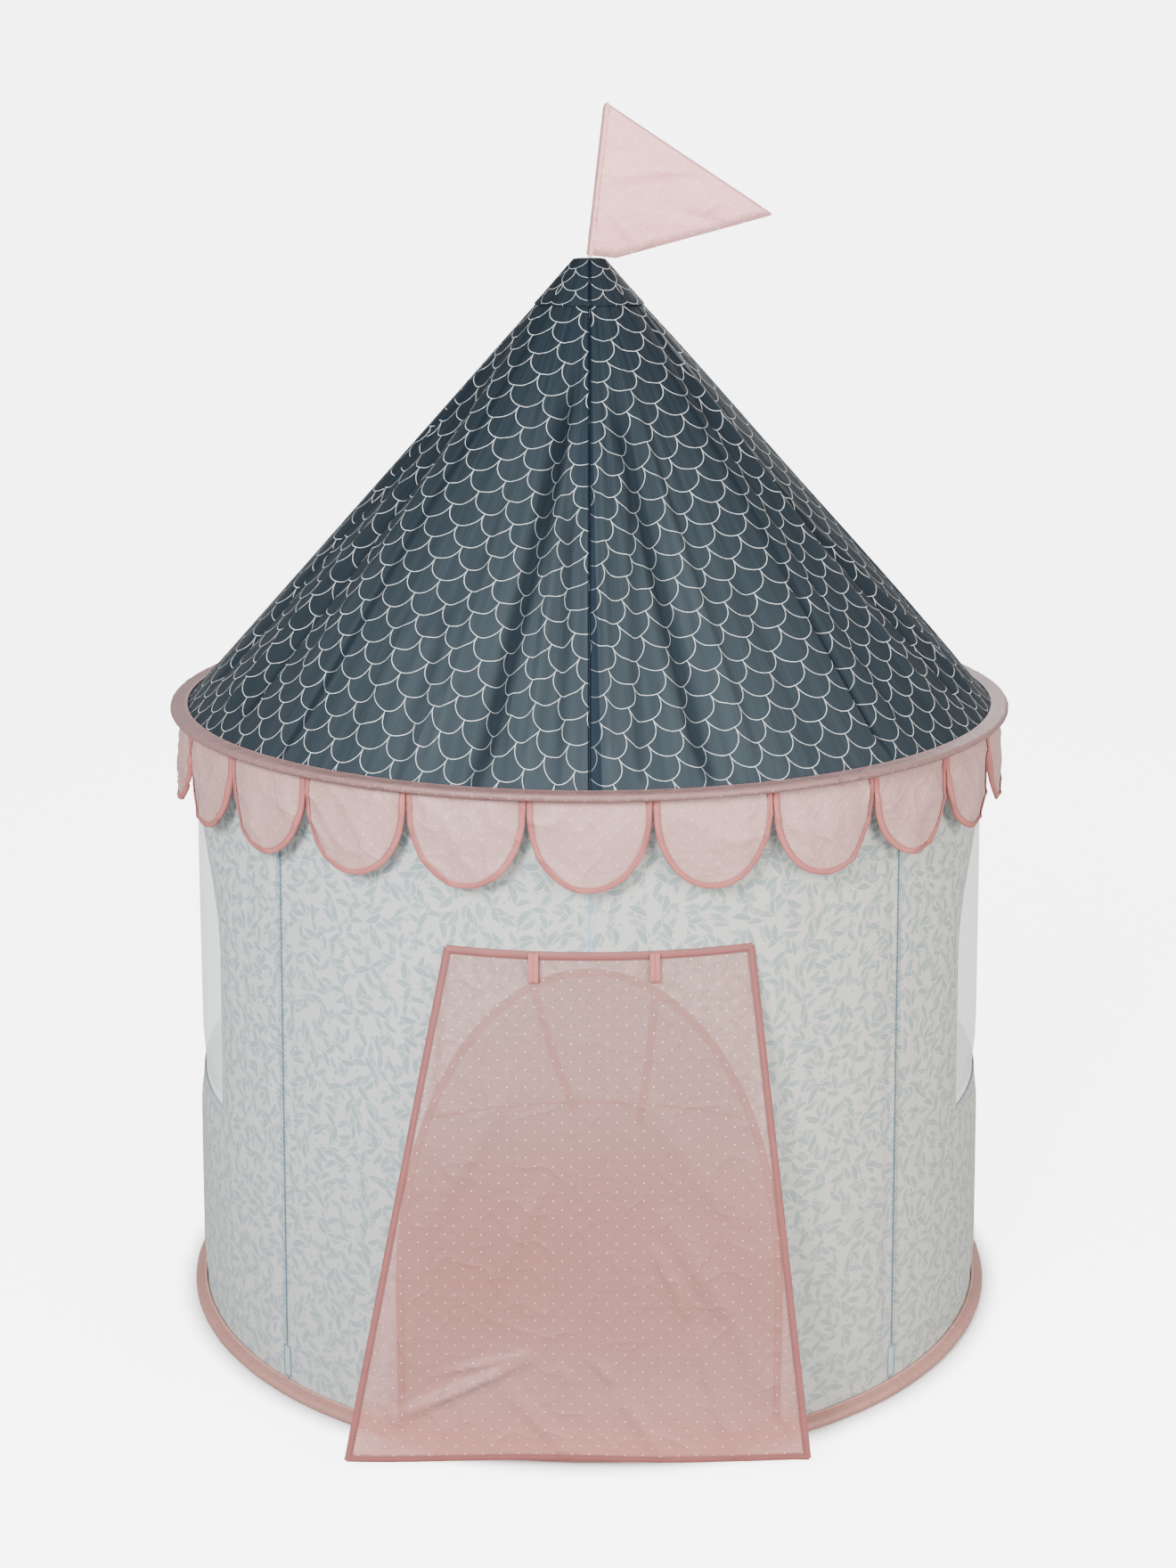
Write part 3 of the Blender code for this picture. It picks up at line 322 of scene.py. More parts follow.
# %% Roof cloth with fish scales
def roof_cloth(name):
    """Slate blue cloth printed with white fish scales, with a seam along both cut edges."""
    nodes = Nodes(name)
    cloth_map = nodes.map()
    across, down = nodes.split(cloth_map)
    from_first, from_second = nodes.split(nodes.map("Edges"))
    lines = scale_lines(nodes, across, down)
    blotch = nodes.noise(nodes.place(), 6.0, 3.0)
    fan, reach = nodes.split(nodes.map("Fan"))
    drawn = nodes.noise(nodes.streaks(fan * 42.0, reach * 5.0), 1.0, 3.0, 0.55)
    hollow, slack = nodes.split(nodes.map("Folds"))
    # Paler towards the brim and at random, and paler along the streaks that the bump raises: a
    # painted sheen on the satin.
    pale = reach.ease(0.05, 0.66) * 0.62 + drawn.ease(0.30, 0.72) * 0.30 + blotch * 0.08
    colour = nodes.mix(pale, ROOF_DEEP, ROOF_PALE)
    # Painted highlight: paler where the cloth lies on a raised fold.
    colour = nodes.mix(slack.ease(0.15, 1.0) * 0.22, colour, (0.062, 0.076, 0.085))
    # Painted shade: darker towards the roof's left and right sides, which face away from the light.
    east, south = nodes.split(nodes.place())
    side = abs(east) / (east * east + south * south).root()
    colour = nodes.mix(side.ease(0.25, 1.0) * 0.62, colour, (0.0050, 0.0085, 0.0125))
    colour = nodes.mix(lines * 0.95, colour, ROOF_PRINT)
    # Painted shade: darker in the hollows of the folds.
    colour = nodes.mix(hollow.ease(0.12, 1.0) * 0.62, colour, (0.0045, 0.0085, 0.0140))
    # Painted shadow: a dark strip beside the gore's first seam, widening towards the brim.
    seam_shadow = from_first / (0.0030 + 0.0210 * reach * reach)
    colour = nodes.mix((1.0 - seam_shadow.ease(0.85, 1.0)) * 0.72, colour, (0.006, 0.012, 0.022))
    from_seam = from_first.least(from_second)
    dark = 1.0 - from_seam.ease(0.0011, 0.0026)
    colour = nodes.mix(dark * 0.92, colour, (0.004, 0.007, 0.012))
    gathered = nodes.noise(nodes.streaks(fan * 70.0, reach * 14.0, 3.0), 1.0, 2.0)
    near_brim = reach.ease(0.60, 0.72)
    height = weave(nodes, cloth_map) * 0.12 - dark * 1.5
    height = height + drawn * 6.5 + gathered * near_brim * 5.0
    nodes.bump(height, BUMP, 0.85)
    nodes.set("Specular IOR Level", 0.03)
    return nodes.finish(Base_Color=colour, Roughness=0.40 + blotch * 0.12)


ROOF = roof_cloth("roof_cloth")
print("made:", ROOF.name)

# %% [markdown]
# ## Wall cloth
# The walls are printed with small leaves, strewn with no two alike. Leaves could be scattered as
# thousands of flat meshes, but a print has no thickness. So five loose grids are laid over each
# other, each cell holds one leaf turned by chance, and every grid's leaves cut a gap into the ones
# below, which keeps them apart. Stitches and the pole's line follow the panel's own edges.

# %% Leaves
LEAF_HALF_LENGTH = 0.0119
LEAF_HALF_WIDTH = 0.0038
LEAF_CELL = 0.0289
WALL_PAINTED_GLOW = 0.34
WALL_GROUND = (0.385, 0.395, 0.388)
WALL_LEAF = (0.205, 0.262, 0.276)
LEAF_GRIDS = ((0.0, 0.0), (0.0147, 0.0140), (0.0073, 0.0210), (0.0217, 0.0068), (0.0110, 0.0041))


def leaves(nodes, cloth_map, shift, number):
    """One leaf in each cell of a loose grid, each turned its own way: the blade and its vein."""
    turned = nodes.add("ShaderNodeVectorRotate", {"rotation_type": "Z_AXIS"},
                       {"Vector": cloth_map, "Angle": 0.35 + 0.67 * number})
    moved = nodes.add("ShaderNodeVectorMath", {"operation": "ADD"},
                      (turned, (shift[0] + 1.7 * number, shift[1] + 2.3 * number, 0.0)))
    chosen = nodes.add("ShaderNodeTexVoronoi", {"voronoi_dimensions": "2D", "feature": "F1"},
                       {"Vector": moved, "Scale": 1.0 / LEAF_CELL, "Randomness": 0.36}, "Color")
    chance = nodes.add("ShaderNodeSeparateColor", {}, (chosen,))
    local = nodes.add("ShaderNodeVectorMath", {"operation": "SUBTRACT"},
                      (moved, chosen.output("Position")))
    x, y = nodes.split(local)
    turn = chance * 2 * math.pi
    along = x * turn.cos() + y * turn.sin()
    beside = y * turn.cos() - x * turn.sin()
    size = 0.74 + chance.output(1) * 0.34
    run = along / (LEAF_HALF_LENGTH * size)
    bow = beside - run * run * 0.0020
    half_width = LEAF_HALF_WIDTH * size
    edge = half_width * (1.0 - abs(run) ** 2.3) - abs(bow)
    blade = edge.ease(-0.0001, 0.0005)
    gap = edge.ease(-0.0013, -0.0007) * (abs(run) < 1.10)
    vein = (1.0 - abs(bow).ease(0.0001, 0.0006)) * blade
    return blade, gap, vein


print("leaf grids:", len(LEAF_GRIDS), "a leaf is about", 2 * LEAF_HALF_LENGTH, "long")


# %% Wall cloth with scattered leaves
def wall_cloth(name):
    """Off-white cloth with blue-grey leaves and a dark pole seam, with painted shade and glow."""
    nodes = Nodes(name)
    cloth_map = nodes.map()
    across, along = nodes.split(cloth_map)
    from_seam, from_pole = nodes.split(nodes.map("Edges"))
    cloud = nodes.noise(nodes.place(), 3.5, 2.0)
    ground = nodes.mix(cloud, WALL_GROUND, tuple(1.07 * part for part in WALL_GROUND))
    speckle = nodes.add("ShaderNodeTexVoronoi", {"voronoi_dimensions": "2D"},
                        {"Vector": cloth_map, "Scale": 58.0, "Randomness": 0.9})
    colour = nodes.mix((1.0 - speckle.ease(0.085, 0.125)) * 0.75, ground, WALL_LEAF)
    for number, shift in enumerate(LEAF_GRIDS):
        blade, gap, vein = leaves(nodes, cloth_map, shift, number)
        colour = nodes.mix(gap, colour, ground)
        colour = nodes.mix(blade * (0.78 + 0.05 * number), colour, WALL_LEAF)
        colour = nodes.mix(vein * 0.22, colour, ground)
    # Painted shade: warmer and darker towards the tent's right side, away from the key light.
    painted_warm_shade = nodes.split(nodes.place())[0].ease(-0.42, 0.42)
    colour = nodes.mix(painted_warm_shade * 0.80, colour, nodes.multiply(colour, (1.0, 0.950, 0.87)))
    # Painted shade: darker towards the wall's foot, where less light falls.
    wall_foot_shade = 1.0 - along.ease(0.02, 0.50)
    colour = nodes.mix(wall_foot_shade * 0.26, colour, (0.255, 0.235, 0.225))
    shade = 1.0 - from_pole.ease(0.0020, 0.0105)
    colour = nodes.mix(shade * 0.30, colour, (0.16, 0.21, 0.23))
    pole_line = 1.0 - from_pole.ease(0.0010, 0.0021)
    pole_thread = stitches(along, from_pole, 0.0, 0.0058, 0.0013)
    colour = nodes.mix(pole_line * 0.80, colour, (0.075, 0.130, 0.165))
    colour = nodes.mix(pole_thread * 0.7, colour, (0.035, 0.065, 0.090))
    window = nodes.split(nodes.map("Openings"))[0]
    hem = (1.0 - window.ease(0.0125, 0.0135)) * (window > -0.01)
    colour = nodes.mix(hem * 0.35, colour, ground)
    outer_row = stitches(along + across, window, 0.0112)
    hem_thread = outer_row.most(stitches(along + across, window, 0.003))
    colour = nodes.mix(hem_thread * 0.75, colour, (0.06, 0.09, 0.12))
    seam = 1.0 - from_seam.ease(0.0012, 0.0034)
    colour = nodes.mix(seam * 0.55, colour, (0.18, 0.30, 0.38))
    thread = stitches(along, from_seam, 0.0055)
    colour = nodes.mix(thread * 0.6, colour, (0.19, 0.32, 0.42))
    round_pole = (1.0 - (from_pole / 0.0075).least(1.0) ** 2.0).most(0.0).root()
    height = weave(nodes, cloth_map) * 0.10 - thread * 0.8 - pole_thread * 0.8 + round_pole * 4.0
    crumple = nodes.noise(nodes.place(), 55.0, 3.0, 0.6)
    height = height + hem * 1.2 - hem_thread * 0.8 + crumple * 1.4
    nodes.bump(height, BUMP, 0.6)
    nodes.set("Specular IOR Level", 0.3)
    # Painted glow: the wall gives off light of its own colour, for the light through the thin
    # cloth.
    nodes.set("Emission Strength", WALL_PAINTED_GLOW)
    return nodes.finish(Base_Color=colour, Roughness=0.6 + crumple * 0.08, Emission_Color=colour)


WALL = wall_cloth("wall_cloth")
print("made:", WALL.name)

# %% [markdown]
# ## Pink cloth
# Petals, flap, pennant and casings are one thin pink cloth with white pin dots. All its creases
# could be modelled, but most are finer than a mesh of sensible size, so the drawn folds are
# geometry and the crumples between them are bump. The flap's cloth is the thinnest and lets some
# of the doorway show through, and towards its foot it is closer and painted pinker, as shade for
# the lesser light from behind there.

# %% Pin dots and pink cloth
DOT_PITCH = 0.020
DOT_RADIUS = 0.0009


def pin_dots(nodes, cloth_map):
    """White pin dots on a square grid with one more in the middle of each square."""
    across, along = nodes.split(cloth_map)

    def from_dot(shift):
        x = ((across / DOT_PITCH + shift) % 1.0 - 0.5) * DOT_PITCH
        y = ((along / DOT_PITCH + shift) % 1.0 - 0.5) * DOT_PITCH
        return (x * x + y * y).root()

    nearest = from_dot(0.0).least(from_dot(0.5))
    return 1.0 - nearest.ease(DOT_RADIUS * 0.72, DOT_RADIUS * 1.2)


def pink_cloth(name, light, dark, dots=0.5, hems=False, casing=False):
    """Thin satin-like pink cloth with white pin dots and the small creases of its packing."""
    nodes = Nodes(name)
    cloth_map = nodes.map()
    across, along = nodes.split(cloth_map)
    blotch = nodes.noise(nodes.place(), 9.0, 3.0)
    colour = nodes.mix(blotch, light, dark)
    crumple = nodes.noise(nodes.place(), 24.0, 3.0, 0.55)
    fine = nodes.noise(nodes.place(), 85.0, 2.0, 0.5)
    bend = nodes.noise(nodes.place(), 15.0, 1.0, 0.4)
    crinkle = (1.0 - abs(bend * 2.0 - 1.0)) ** 14.0 + (1.0 - abs(crumple * 2.0 - 1.0)) ** 12.0 * 0.5
    height = weave(nodes, cloth_map) * 0.12 + crumple * 5.5 + fine * 1.6 + crinkle * 3.6
    if hems or casing:
        from_edge = nodes.split(nodes.map("Edges"))[0]
    if hems:
        # Painted shade: darker along the edges, where the doubled cloth rolls away from the light.
        turned = 1.0 - from_edge.ease(0.0, 0.0130)
        colour = nodes.mix(turned * 0.92, colour, tuple(0.38 * part for part in dark))
        height = height - turned * 4.0
    if casing:
        # A paler line near each sewn edge: part seam, part painted highlight along the casing's
        # top.
        sewn = 1.0 - abs(from_edge - 0.0022).ease(0.0005, 0.0012)
        colour = nodes.mix(sewn * 0.55, colour, tuple(1.7 * part for part in light))
        gathers = nodes.noise(nodes.streaks(across * 130.0, along * 30.0), 1.0, 3.0)
        height = height + gathers * 2.4 - sewn
    pins = pin_dots(nodes, cloth_map)
    colour = nodes.mix(pins * dots, colour, (0.90, 0.88, 0.87))
    nodes.bump(height, BUMP, 0.7)
    return nodes, {"Base_Color": colour, "Roughness": 0.42 + blotch * 0.12}


print("dots are", 2 * DOT_RADIUS, "wide and", DOT_PITCH, "apart")


# %% Pink finishes
def pink_finish(name, light, dark, **settings):
    """A pink cloth that nothing shows through, as a finished material."""
    nodes, sockets = pink_cloth(name, light, dark, **settings)
    return nodes.finish(**sockets)


def flap_cloth(name):
    """The flap's cloth: thin enough to show what is behind it, and painted pinker at its foot as
    shade.
    """
    nodes, sockets = pink_cloth(name, (0.505, 0.275, 0.242), (0.440, 0.232, 0.208), dots=0.6)
    fall = nodes.split(nodes.map())[1]
    # Painted shade: pinker and darker towards the flap's foot, where less light comes through from
    # behind.
    flap_foot_shade = fall.ease(0.05, 0.40)
    pinker = nodes.multiply(sockets["Base_Color"], (0.89, 0.70, 0.69))
    sockets["Base_Color"] = nodes.mix(flap_foot_shade, sockets["Base_Color"], pinker)
    printed = pin_dots(nodes, nodes.map())
    solid = 0.36 + flap_foot_shade * 0.10 + fall.ease(0.50, 0.575) * 0.36
    return nodes.finish(Alpha=solid + printed * 0.40, **sockets)


FLAP = flap_cloth("flap_cloth")
PETAL = pink_finish("petal_cloth", (0.445, 0.262, 0.242), (0.355, 0.200, 0.185), dots=0.35)
PENNANT = pink_finish("pennant_cloth", (0.85, 0.43, 0.415), (0.75, 0.35, 0.34), dots=0.8, hems=True)
BRIM = pink_finish("brim_cloth", (0.225, 0.118, 0.112), (0.165, 0.085, 0.081), dots=0.2,
                   casing=True)
CASING = pink_finish("foot_casing_cloth", (0.36, 0.175, 0.145), (0.28, 0.125, 0.105), dots=0.1,
                     casing=True)
print("made:", [cloth.name for cloth in (FLAP, PETAL, PENNANT, BRIM, CASING)])

# %% [markdown]
# ## Tape, patches, net and plain finishes
# Binding tape is stiffer and duller than the cloth, with a fine cross rib and one row of stitches.
# The window net could be woven from real threads, but its holes are about a millimetre wide and
# there would be a hundred thousand of them, so its threads are drawn in its alpha. Rods, sockets
# and end caps have one colour each, with a little cloud and grain so that they don't look painted.


# %% Tape
def tape(name, light, dark):
    """Folded binding tape with a row of stitches near its inner edge and a fine cross rib."""
    nodes = Nodes(name)
    cloth_map = nodes.map()
    along, across = nodes.split(cloth_map)
    blotch = nodes.noise(nodes.place(), 30.0, 3.0)
    colour = nodes.mix(blotch, light, dark)
    thread = stitches(along, across, 0.0)
    colour = nodes.mix(thread * 0.5, colour, tuple(0.55 * part for part in dark))
    pucker = nodes.noise(nodes.place(), 190.0, 1.0)
    rib = (along * (2 * math.pi / RIB_PITCH)).sin()
    height = pucker * 0.9 + rib * 0.12 - thread
    nodes.bump(height, 0.0005, 0.6)
    return nodes.finish(Base_Color=colour, Roughness=0.62)


print("ribs of the tape:", RIB_PITCH, "apart")


# %% Patches and net
def patch_cloth(name):
    """Pale blue-grey cloth with a dark row of stitches all round."""
    nodes = Nodes(name)
    cloth_map = nodes.map()
    across, along = nodes.split(cloth_map)
    from_edge = nodes.split(nodes.map("Edges"))[0]
    blotch = nodes.noise(nodes.place(), 60.0, 3.0)
    colour = nodes.mix(blotch, (0.36, 0.43, 0.45), (0.29, 0.36, 0.38))
    sewn = 1.0 - abs(from_edge - 0.0016).ease(0.0004, 0.0010)
    thread = stitches(along + across, from_edge, 0.0016, 0.0026, 0.0008)
    colour = nodes.mix(sewn * 0.75, colour, (0.085, 0.125, 0.150))
    colour = nodes.mix(thread * 0.8, colour, (0.030, 0.050, 0.065))
    nodes.bump(weave(nodes, cloth_map) * 0.2 - sewn * 1.5, BUMP, 0.7)
    return nodes.finish(Base_Color=colour, Roughness=0.66 + sewn * 0.1)


def net_cloth(name):
    """Sheer white net: mostly air between fine threads, and denser along its hem."""
    nodes = Nodes(name)
    across, along = nodes.split(nodes.map())
    hem = 1.0 - nodes.split(nodes.map("Edges"))[0].ease(0.010, 0.011)
    turn = 2 * math.pi / NET_PITCH
    thread = (across * turn).sin().most((along * turn).sin())
    alpha = 0.36 + thread.ease(0.2, 1.0) * 0.25 + hem * 0.3
    return nodes.finish(Base_Color=(0.90, 0.92, 0.93), Roughness=0.8, Alpha=alpha.least(0.96))


print("threads of the net:", NET_PITCH, "apart")


# %% Plain finishes
def plain(name, colour, rough, metallic=0.0, grain=60.0, coat=0.0):
    """A moulded, drawn or woven finish: slight change of tone, and a fine grain in its gloss."""
    nodes = Nodes(name)
    place = nodes.place()
    cloud = nodes.noise(place, grain, 3.0)
    tone = nodes.mix(cloud, tuple(0.86 * part for part in colour), colour)
    nodes.bump(nodes.noise(place, grain * 12, 2.0), 0.0002, 0.35)
    nodes.set("Coat Weight", coat)
    return nodes.finish(Base_Color=tone, Roughness=rough - 0.06 + cloud * 0.12, Metallic=metallic)


TAPE = tape("binding_tape", (0.40, 0.125, 0.112), (0.32, 0.092, 0.084))
FLAP_TAPE = tape("flap_tape", (0.245, 0.074, 0.068), (0.185, 0.052, 0.048))
# Painted shade: the arch and ribbons behind the flap use a darker copy of the binding tape.
SHADED_TIE = tape("tie_tape_in_shade", (0.115, 0.027, 0.025), (0.085, 0.019, 0.018))
PATCH = patch_cloth("patch_cloth")
NET = net_cloth("window_net")
ROD = plain("glass_fibre_rod", (0.72, 0.72, 0.69), 0.34, grain=90.0, coat=0.2)
WIRE = plain("hoop_wire", (0.55, 0.56, 0.58), 0.32, metallic=1.0)
SOCKET = plain("socket_plastic", (0.74, 0.74, 0.73), 0.42)
FOOT = plain("foot_plastic", (0.03, 0.03, 0.032), 0.55)
LINING = plain("lining_cloth", (0.66, 0.68, 0.67), 0.85, grain=25.0)
print("materials:", [material.name for material in bpy.data.materials])

# %% [markdown]
# ## How the sheets are made
# Each cloth is drawn flat first, as a cutter would: a place on the flat pattern, in metres, is
# carried to its place on the tent. Folds are added on the way, square to the cloth. Both the cloth
# and the tape round its edge use the same rule, so they stay together. A grid with a Solidify
# modifier would also do for a plain sheet, but only a rule like this keeps the print at its size.

# %% Sizes of the tent
# The two casings are read from the frame. The cone and the wall lie on the outer faces of its
# solids, and both are straight lines from a lower radius to an upper one.
CLOTH = 0.0010
AIR = 0.0004
CRISP_FOLD = math.radians(42.0)

eaves_low, eaves_high = (Vector(corner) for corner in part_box("eaves_casing"))
base_high = Vector(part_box("base_casing")[1])
EAVES_RADIUS = eaves_high.x
EAVES_CROWN = eaves_high.z
EAVES_FOOT = eaves_low.z
BASE_RADIUS = base_high.x
ROOF_EDGE = 0.503
ROOF_EDGE_HEIGHT = EAVES_CROWN - 0.0015
APEX_RADIUS = 0.018
APEX_HEIGHT = 1.318
WALL_FOOT_RADIUS = 0.513
WALL_TOP_RADIUS = 0.492
WALL_TOP = 0.7944
PITCH = math.atan2(APEX_HEIGHT - ROOF_EDGE_HEIGHT, ROOF_EDGE - APEX_RADIUS)
SLOPE = (ROOF_EDGE - APEX_RADIUS) / math.cos(PITCH)
APEX_REACH = APEX_RADIUS / math.cos(PITCH)
HALF_GORE = math.radians(45.0) * math.cos(PITCH)
QUARTERS = (("front_right", 0.0), ("back_right", 90.0), ("back_left", 180.0), ("front_left", 270.0))
print("roof pitch:", round(math.degrees(PITCH), 2), "eaves:", round(EAVES_RADIUS, 4))


# %% Points round the tent
def polar(radius, angle, height):
    """A point at an angle in degrees from the front, growing towards +X."""
    turn = math.radians(angle)
    return Vector((radius * math.sin(turn), -radius * math.cos(turn), height))


def wall_radius(height):
    """Radius of the wall's outer face."""
    return WALL_FOOT_RADIUS + (WALL_TOP_RADIUS - WALL_FOOT_RADIUS) * height / WALL_TOP


def smooth(low, high, value):
    """0 below low, 1 above high, and a soft rise between."""
    t = min(1.0, max(0.0, (value - low) / (high - low)))
    return t * t * (3.0 - 2.0 * t)


def soft(x, y, seed):
    """Seeded noise from -1 to 1 on a plane."""
    return noise.noise(Vector((x, y, seed)))


print("wall radius at foot and top:", wall_radius(0.0), wall_radius(WALL_TOP))


# %% Building a sheet
def pick(*pieces):
    """Selects these pieces alone; the first one is active."""
    bpy.ops.object.select_all(action="DESELECT")
    for piece in pieces:
        piece.select_set(True)
    bpy.context.view_layer.objects.active = pieces[0]


def finish_piece(piece, material):
    """Gives a piece its material and slot, and a smooth surface with crisp folded edges."""
    piece.data.materials.clear()
    piece.data.materials.append(material)
    pick(piece)
    bpy.ops.object.shade_smooth_by_angle(angle=CRISP_FOLD)


def apply_modifier(piece, kind, name, settings):
    """Adds a modifier, sets it up and applies it."""
    change = piece.modifiers.new(name, kind)
    for key, value in settings.items():
        setattr(change, key, value)
    pick(piece)
    bpy.ops.object.modifier_apply(modifier=name)


def grid_sheet(name, steps, at, material, thickness=CLOTH, ring=False):
    """A sheet of (rows, columns) of faces; `at` gives a corner's point and its place in each map.

    A ring's last column of points is its first one again, with places of its own in the maps.
    """
    rows, columns = steps
    spots = [[at(i, j) for j in range(columns + 1)] for i in range(rows + 1)]
    wide = columns if ring else columns + 1
    points = [point for row in spots for point, _ in row[:wide]]
    faces, corners = [], []
    for i in range(rows):
        for j in range(columns):
            after = (j + 1) % wide
            faces.append((i * wide + j, i * wide + after, (i + 1) * wide + after,
                          (i + 1) * wide + j))
            corners += [(i, j), (i, j + 1), (i + 1, j + 1), (i + 1, j)]
    mesh = bpy.data.meshes.new(name)
    mesh.from_pydata(points, [], faces)
    for map_name in spots[0][0][1]:
        layer = mesh.uv_layers.new(name=map_name)
        flat = [value for i, j in corners for value in spots[i][j][1][map_name]]
        layer.uv.foreach_set("vector", flat)
    piece = bpy.data.objects.new(name, mesh)
    bpy.context.scene.collection.objects.link(piece)
    apply_modifier(piece, "SOLIDIFY", "thickness",
                   {"thickness": thickness, "offset": -1.0, "use_even_offset": True})
    finish_piece(piece, material)
    triangles = sum(len(face.vertices) - 2 for face in piece.data.polygons)
    print(f"{name}: {triangles} triangles")
    return piece


print("sheet helpers ready")

# %% [markdown]
# ## The roof
# Four gores of slate blue cloth meet at seams on the front, the back and both sides, and each
# is carried by the pole under its middle. The cone could be one surface of revolution, but the
# real cloth hangs a little between its seams and ridges, drops in long soft folds from the hub,
# and puckers where it is gathered into the brim.

# %% Drawn folds of the roof
# A fold runs from one flat place to another, each given as metres across the gore and down from
# its tip. The last three numbers are its half width, how far it stands out, and the cloth that it
# takes up, which pulls the print aside.
LEFT_FOLDS = (
    ((0.005, 0.050), (0.014, 0.740), 0.0050, -0.0060, 0.004),
    ((-0.006, 0.090), (-0.030, 0.620), 0.0110, 0.0026, 0.018),
    ((-0.034, 0.180), (-0.100, 0.700), 0.0100, -0.0038, 0.008),
    ((-0.050, 0.140), (-0.190, 0.520), 0.0060, 0.0040, 0.006),
    ((-0.070, 0.300), (-0.150, 0.720), 0.0110, 0.0034, 0.006),
    ((-0.080, 0.190), (-0.235, 0.640), 0.0100, -0.0040, 0.006),
    ((0.062, 0.110), (0.270, 0.710), 0.0125, -0.0078, 0.016),
    ((0.050, 0.100), (0.300, 0.640), 0.0070, 0.0038, 0.005),
    ((0.085, 0.300), (0.215, 0.735), 0.0080, 0.0030, 0.004),
    ((0.150, 0.300), (0.345, 0.655), 0.0055, -0.0034, 0.004),
    ((0.045, 0.400), (0.120, 0.560), 0.0140, 0.0022, 0.000),
    ((0.095, 0.470), (0.185, 0.735), 0.0080, -0.0028, 0.003),
    ((0.070, 0.520), (0.120, 0.735), 0.0090, 0.0024, 0.000),
    ((0.020, 0.330), (0.110, 0.540), 0.0120, -0.0014, 0.000),
    ((0.165, 0.600), (0.190, 0.735), 0.0045, 0.0020, 0.000),
    ((0.230, 0.560), (0.310, 0.700), 0.0045, 0.0022, 0.000),
)
RIGHT_FOLDS = (
    ((0.006, 0.070), (-0.024, 0.735), 0.0050, -0.0058, 0.004),
    ((0.012, 0.140), (0.030, 0.730), 0.0110, -0.0026, 0.018),
    ((0.030, 0.150), (0.110, 0.700), 0.0120, 0.0034, 0.005),
    ((0.060, 0.300), (0.190, 0.690), 0.0090, -0.0036, 0.004),
    ((-0.075, 0.170), (-0.255, 0.690), 0.0105, -0.0058, 0.010),
    ((-0.055, 0.150), (-0.205, 0.715), 0.0095, 0.0034, 0.004),
    ((-0.120, 0.300), (-0.320, 0.655), 0.0065, -0.0036, 0.004),
    ((-0.105, 0.200), (-0.340, 0.625), 0.0055, 0.0030, 0.003),
    ((-0.070, 0.440), (-0.120, 0.735), 0.0110, -0.0022, 0.000),
    ((-0.040, 0.300), (-0.130, 0.560), 0.0120, 0.0016, 0.000),
    ((-0.175, 0.560), (-0.215, 0.715), 0.0050, 0.0018, 0.000),
    ((0.120, 0.420), (0.250, 0.680), 0.0090, 0.0032, 0.004),
)
FOLDS = {0.0: RIGHT_FOLDS, 90.0: LEFT_FOLDS, 180.0: RIGHT_FOLDS, 270.0: LEFT_FOLDS}
print("folds on each gore:", {start: len(folds) for start, folds in FOLDS.items()})


# %% Roof surface

def roof_ridge(angle, share):
    """How far the roof stands off its cone: the ridge on each pole and the sag beside it."""
    away = abs(angle % 90.0 - 45.0)
    ridge = 0.004 * max(0.0, 1.0 - away / 25.0) ** 2
    sag = 0.006 * math.sin(math.pi * away / 45.0) ** 2
    return (ridge - sag) * math.sin(math.pi * share) ** 2


def on_cone(angle, share, out):
    """A point on the roof's cone at a share of its way up, moved out square to it."""
    radius = ROOF_EDGE - (ROOF_EDGE - APEX_RADIUS) * share + out * math.sin(PITCH)
    height = ROOF_EDGE_HEIGHT + (APEX_HEIGHT - ROOF_EDGE_HEIGHT) * share + out * math.cos(PITCH)
    return polar(radius, angle, height)


def fold_shape(place, fold):
    """How much of a fold is at a place, and on which side of it the place lies, from -1 to 1."""
    (start_x, start_y), (end_x, end_y), half_width = fold[:3]
    run_x, run_y = end_x - start_x, end_y - start_y
    length = math.hypot(run_x, run_y)
    x, y = place[0] - start_x, place[1] - start_y
    along = (x * run_x + y * run_y) / length ** 2
    present = smooth(0.0, 0.22, along) * smooth(0.0, 0.10, 1.08 - along)
    beside = (x * run_y - y * run_x) / length / half_width
    return present, beside


FOLD_DEPTH = 1.75
FOLD_REACH = 3.2


def roof_folds(across, slope, start):
    """The drawn folds, softer ones between them, and small puckers at the brim."""
    reach = slope + APEX_REACH
    turn = across / reach
    place = (reach * math.sin(turn), reach * math.cos(turn))
    share = 1.0 - slope / SLOPE
    free = smooth(0.0, 0.10, share) * smooth(0.0, 0.2, 1.0 - share)
    out = 0.0
    for fold in FOLDS[start]:
        present, beside = fold_shape(place, fold)
        if present > 0.0 and abs(beside) < FOLD_REACH:
            out += FOLD_DEPTH * present * fold[3] * math.exp(-beside * beside)
    wander = 0.35 * soft(slope * 3.0, start, 1.3)
    out += 0.0030 * soft(turn * 9.0 + wander, slope * 2.2, start + 0.5) * free
    out += 0.0011 * soft(turn * 24.0 + wander * 2.0, slope * 4.5, start + 4.2) * free
    pucker = math.exp(-(SLOPE - slope) / 0.035) * smooth(0.0, 0.012, SLOPE - slope)
    held = smooth(0.010, 0.060, SLOPE - slope) * smooth(0.0, 0.10, slope)
    clear = smooth(0.0085, 0.026, abs(across)) if out < 0.0 else 1.0
    seam = smooth(0.0, 0.010, HALF_GORE * reach - abs(across))
    puckers = 0.0011 * pucker * soft(across * 62.0, slope * 12.0, start + 8.0)
    return out * clear * held * seam + puckers


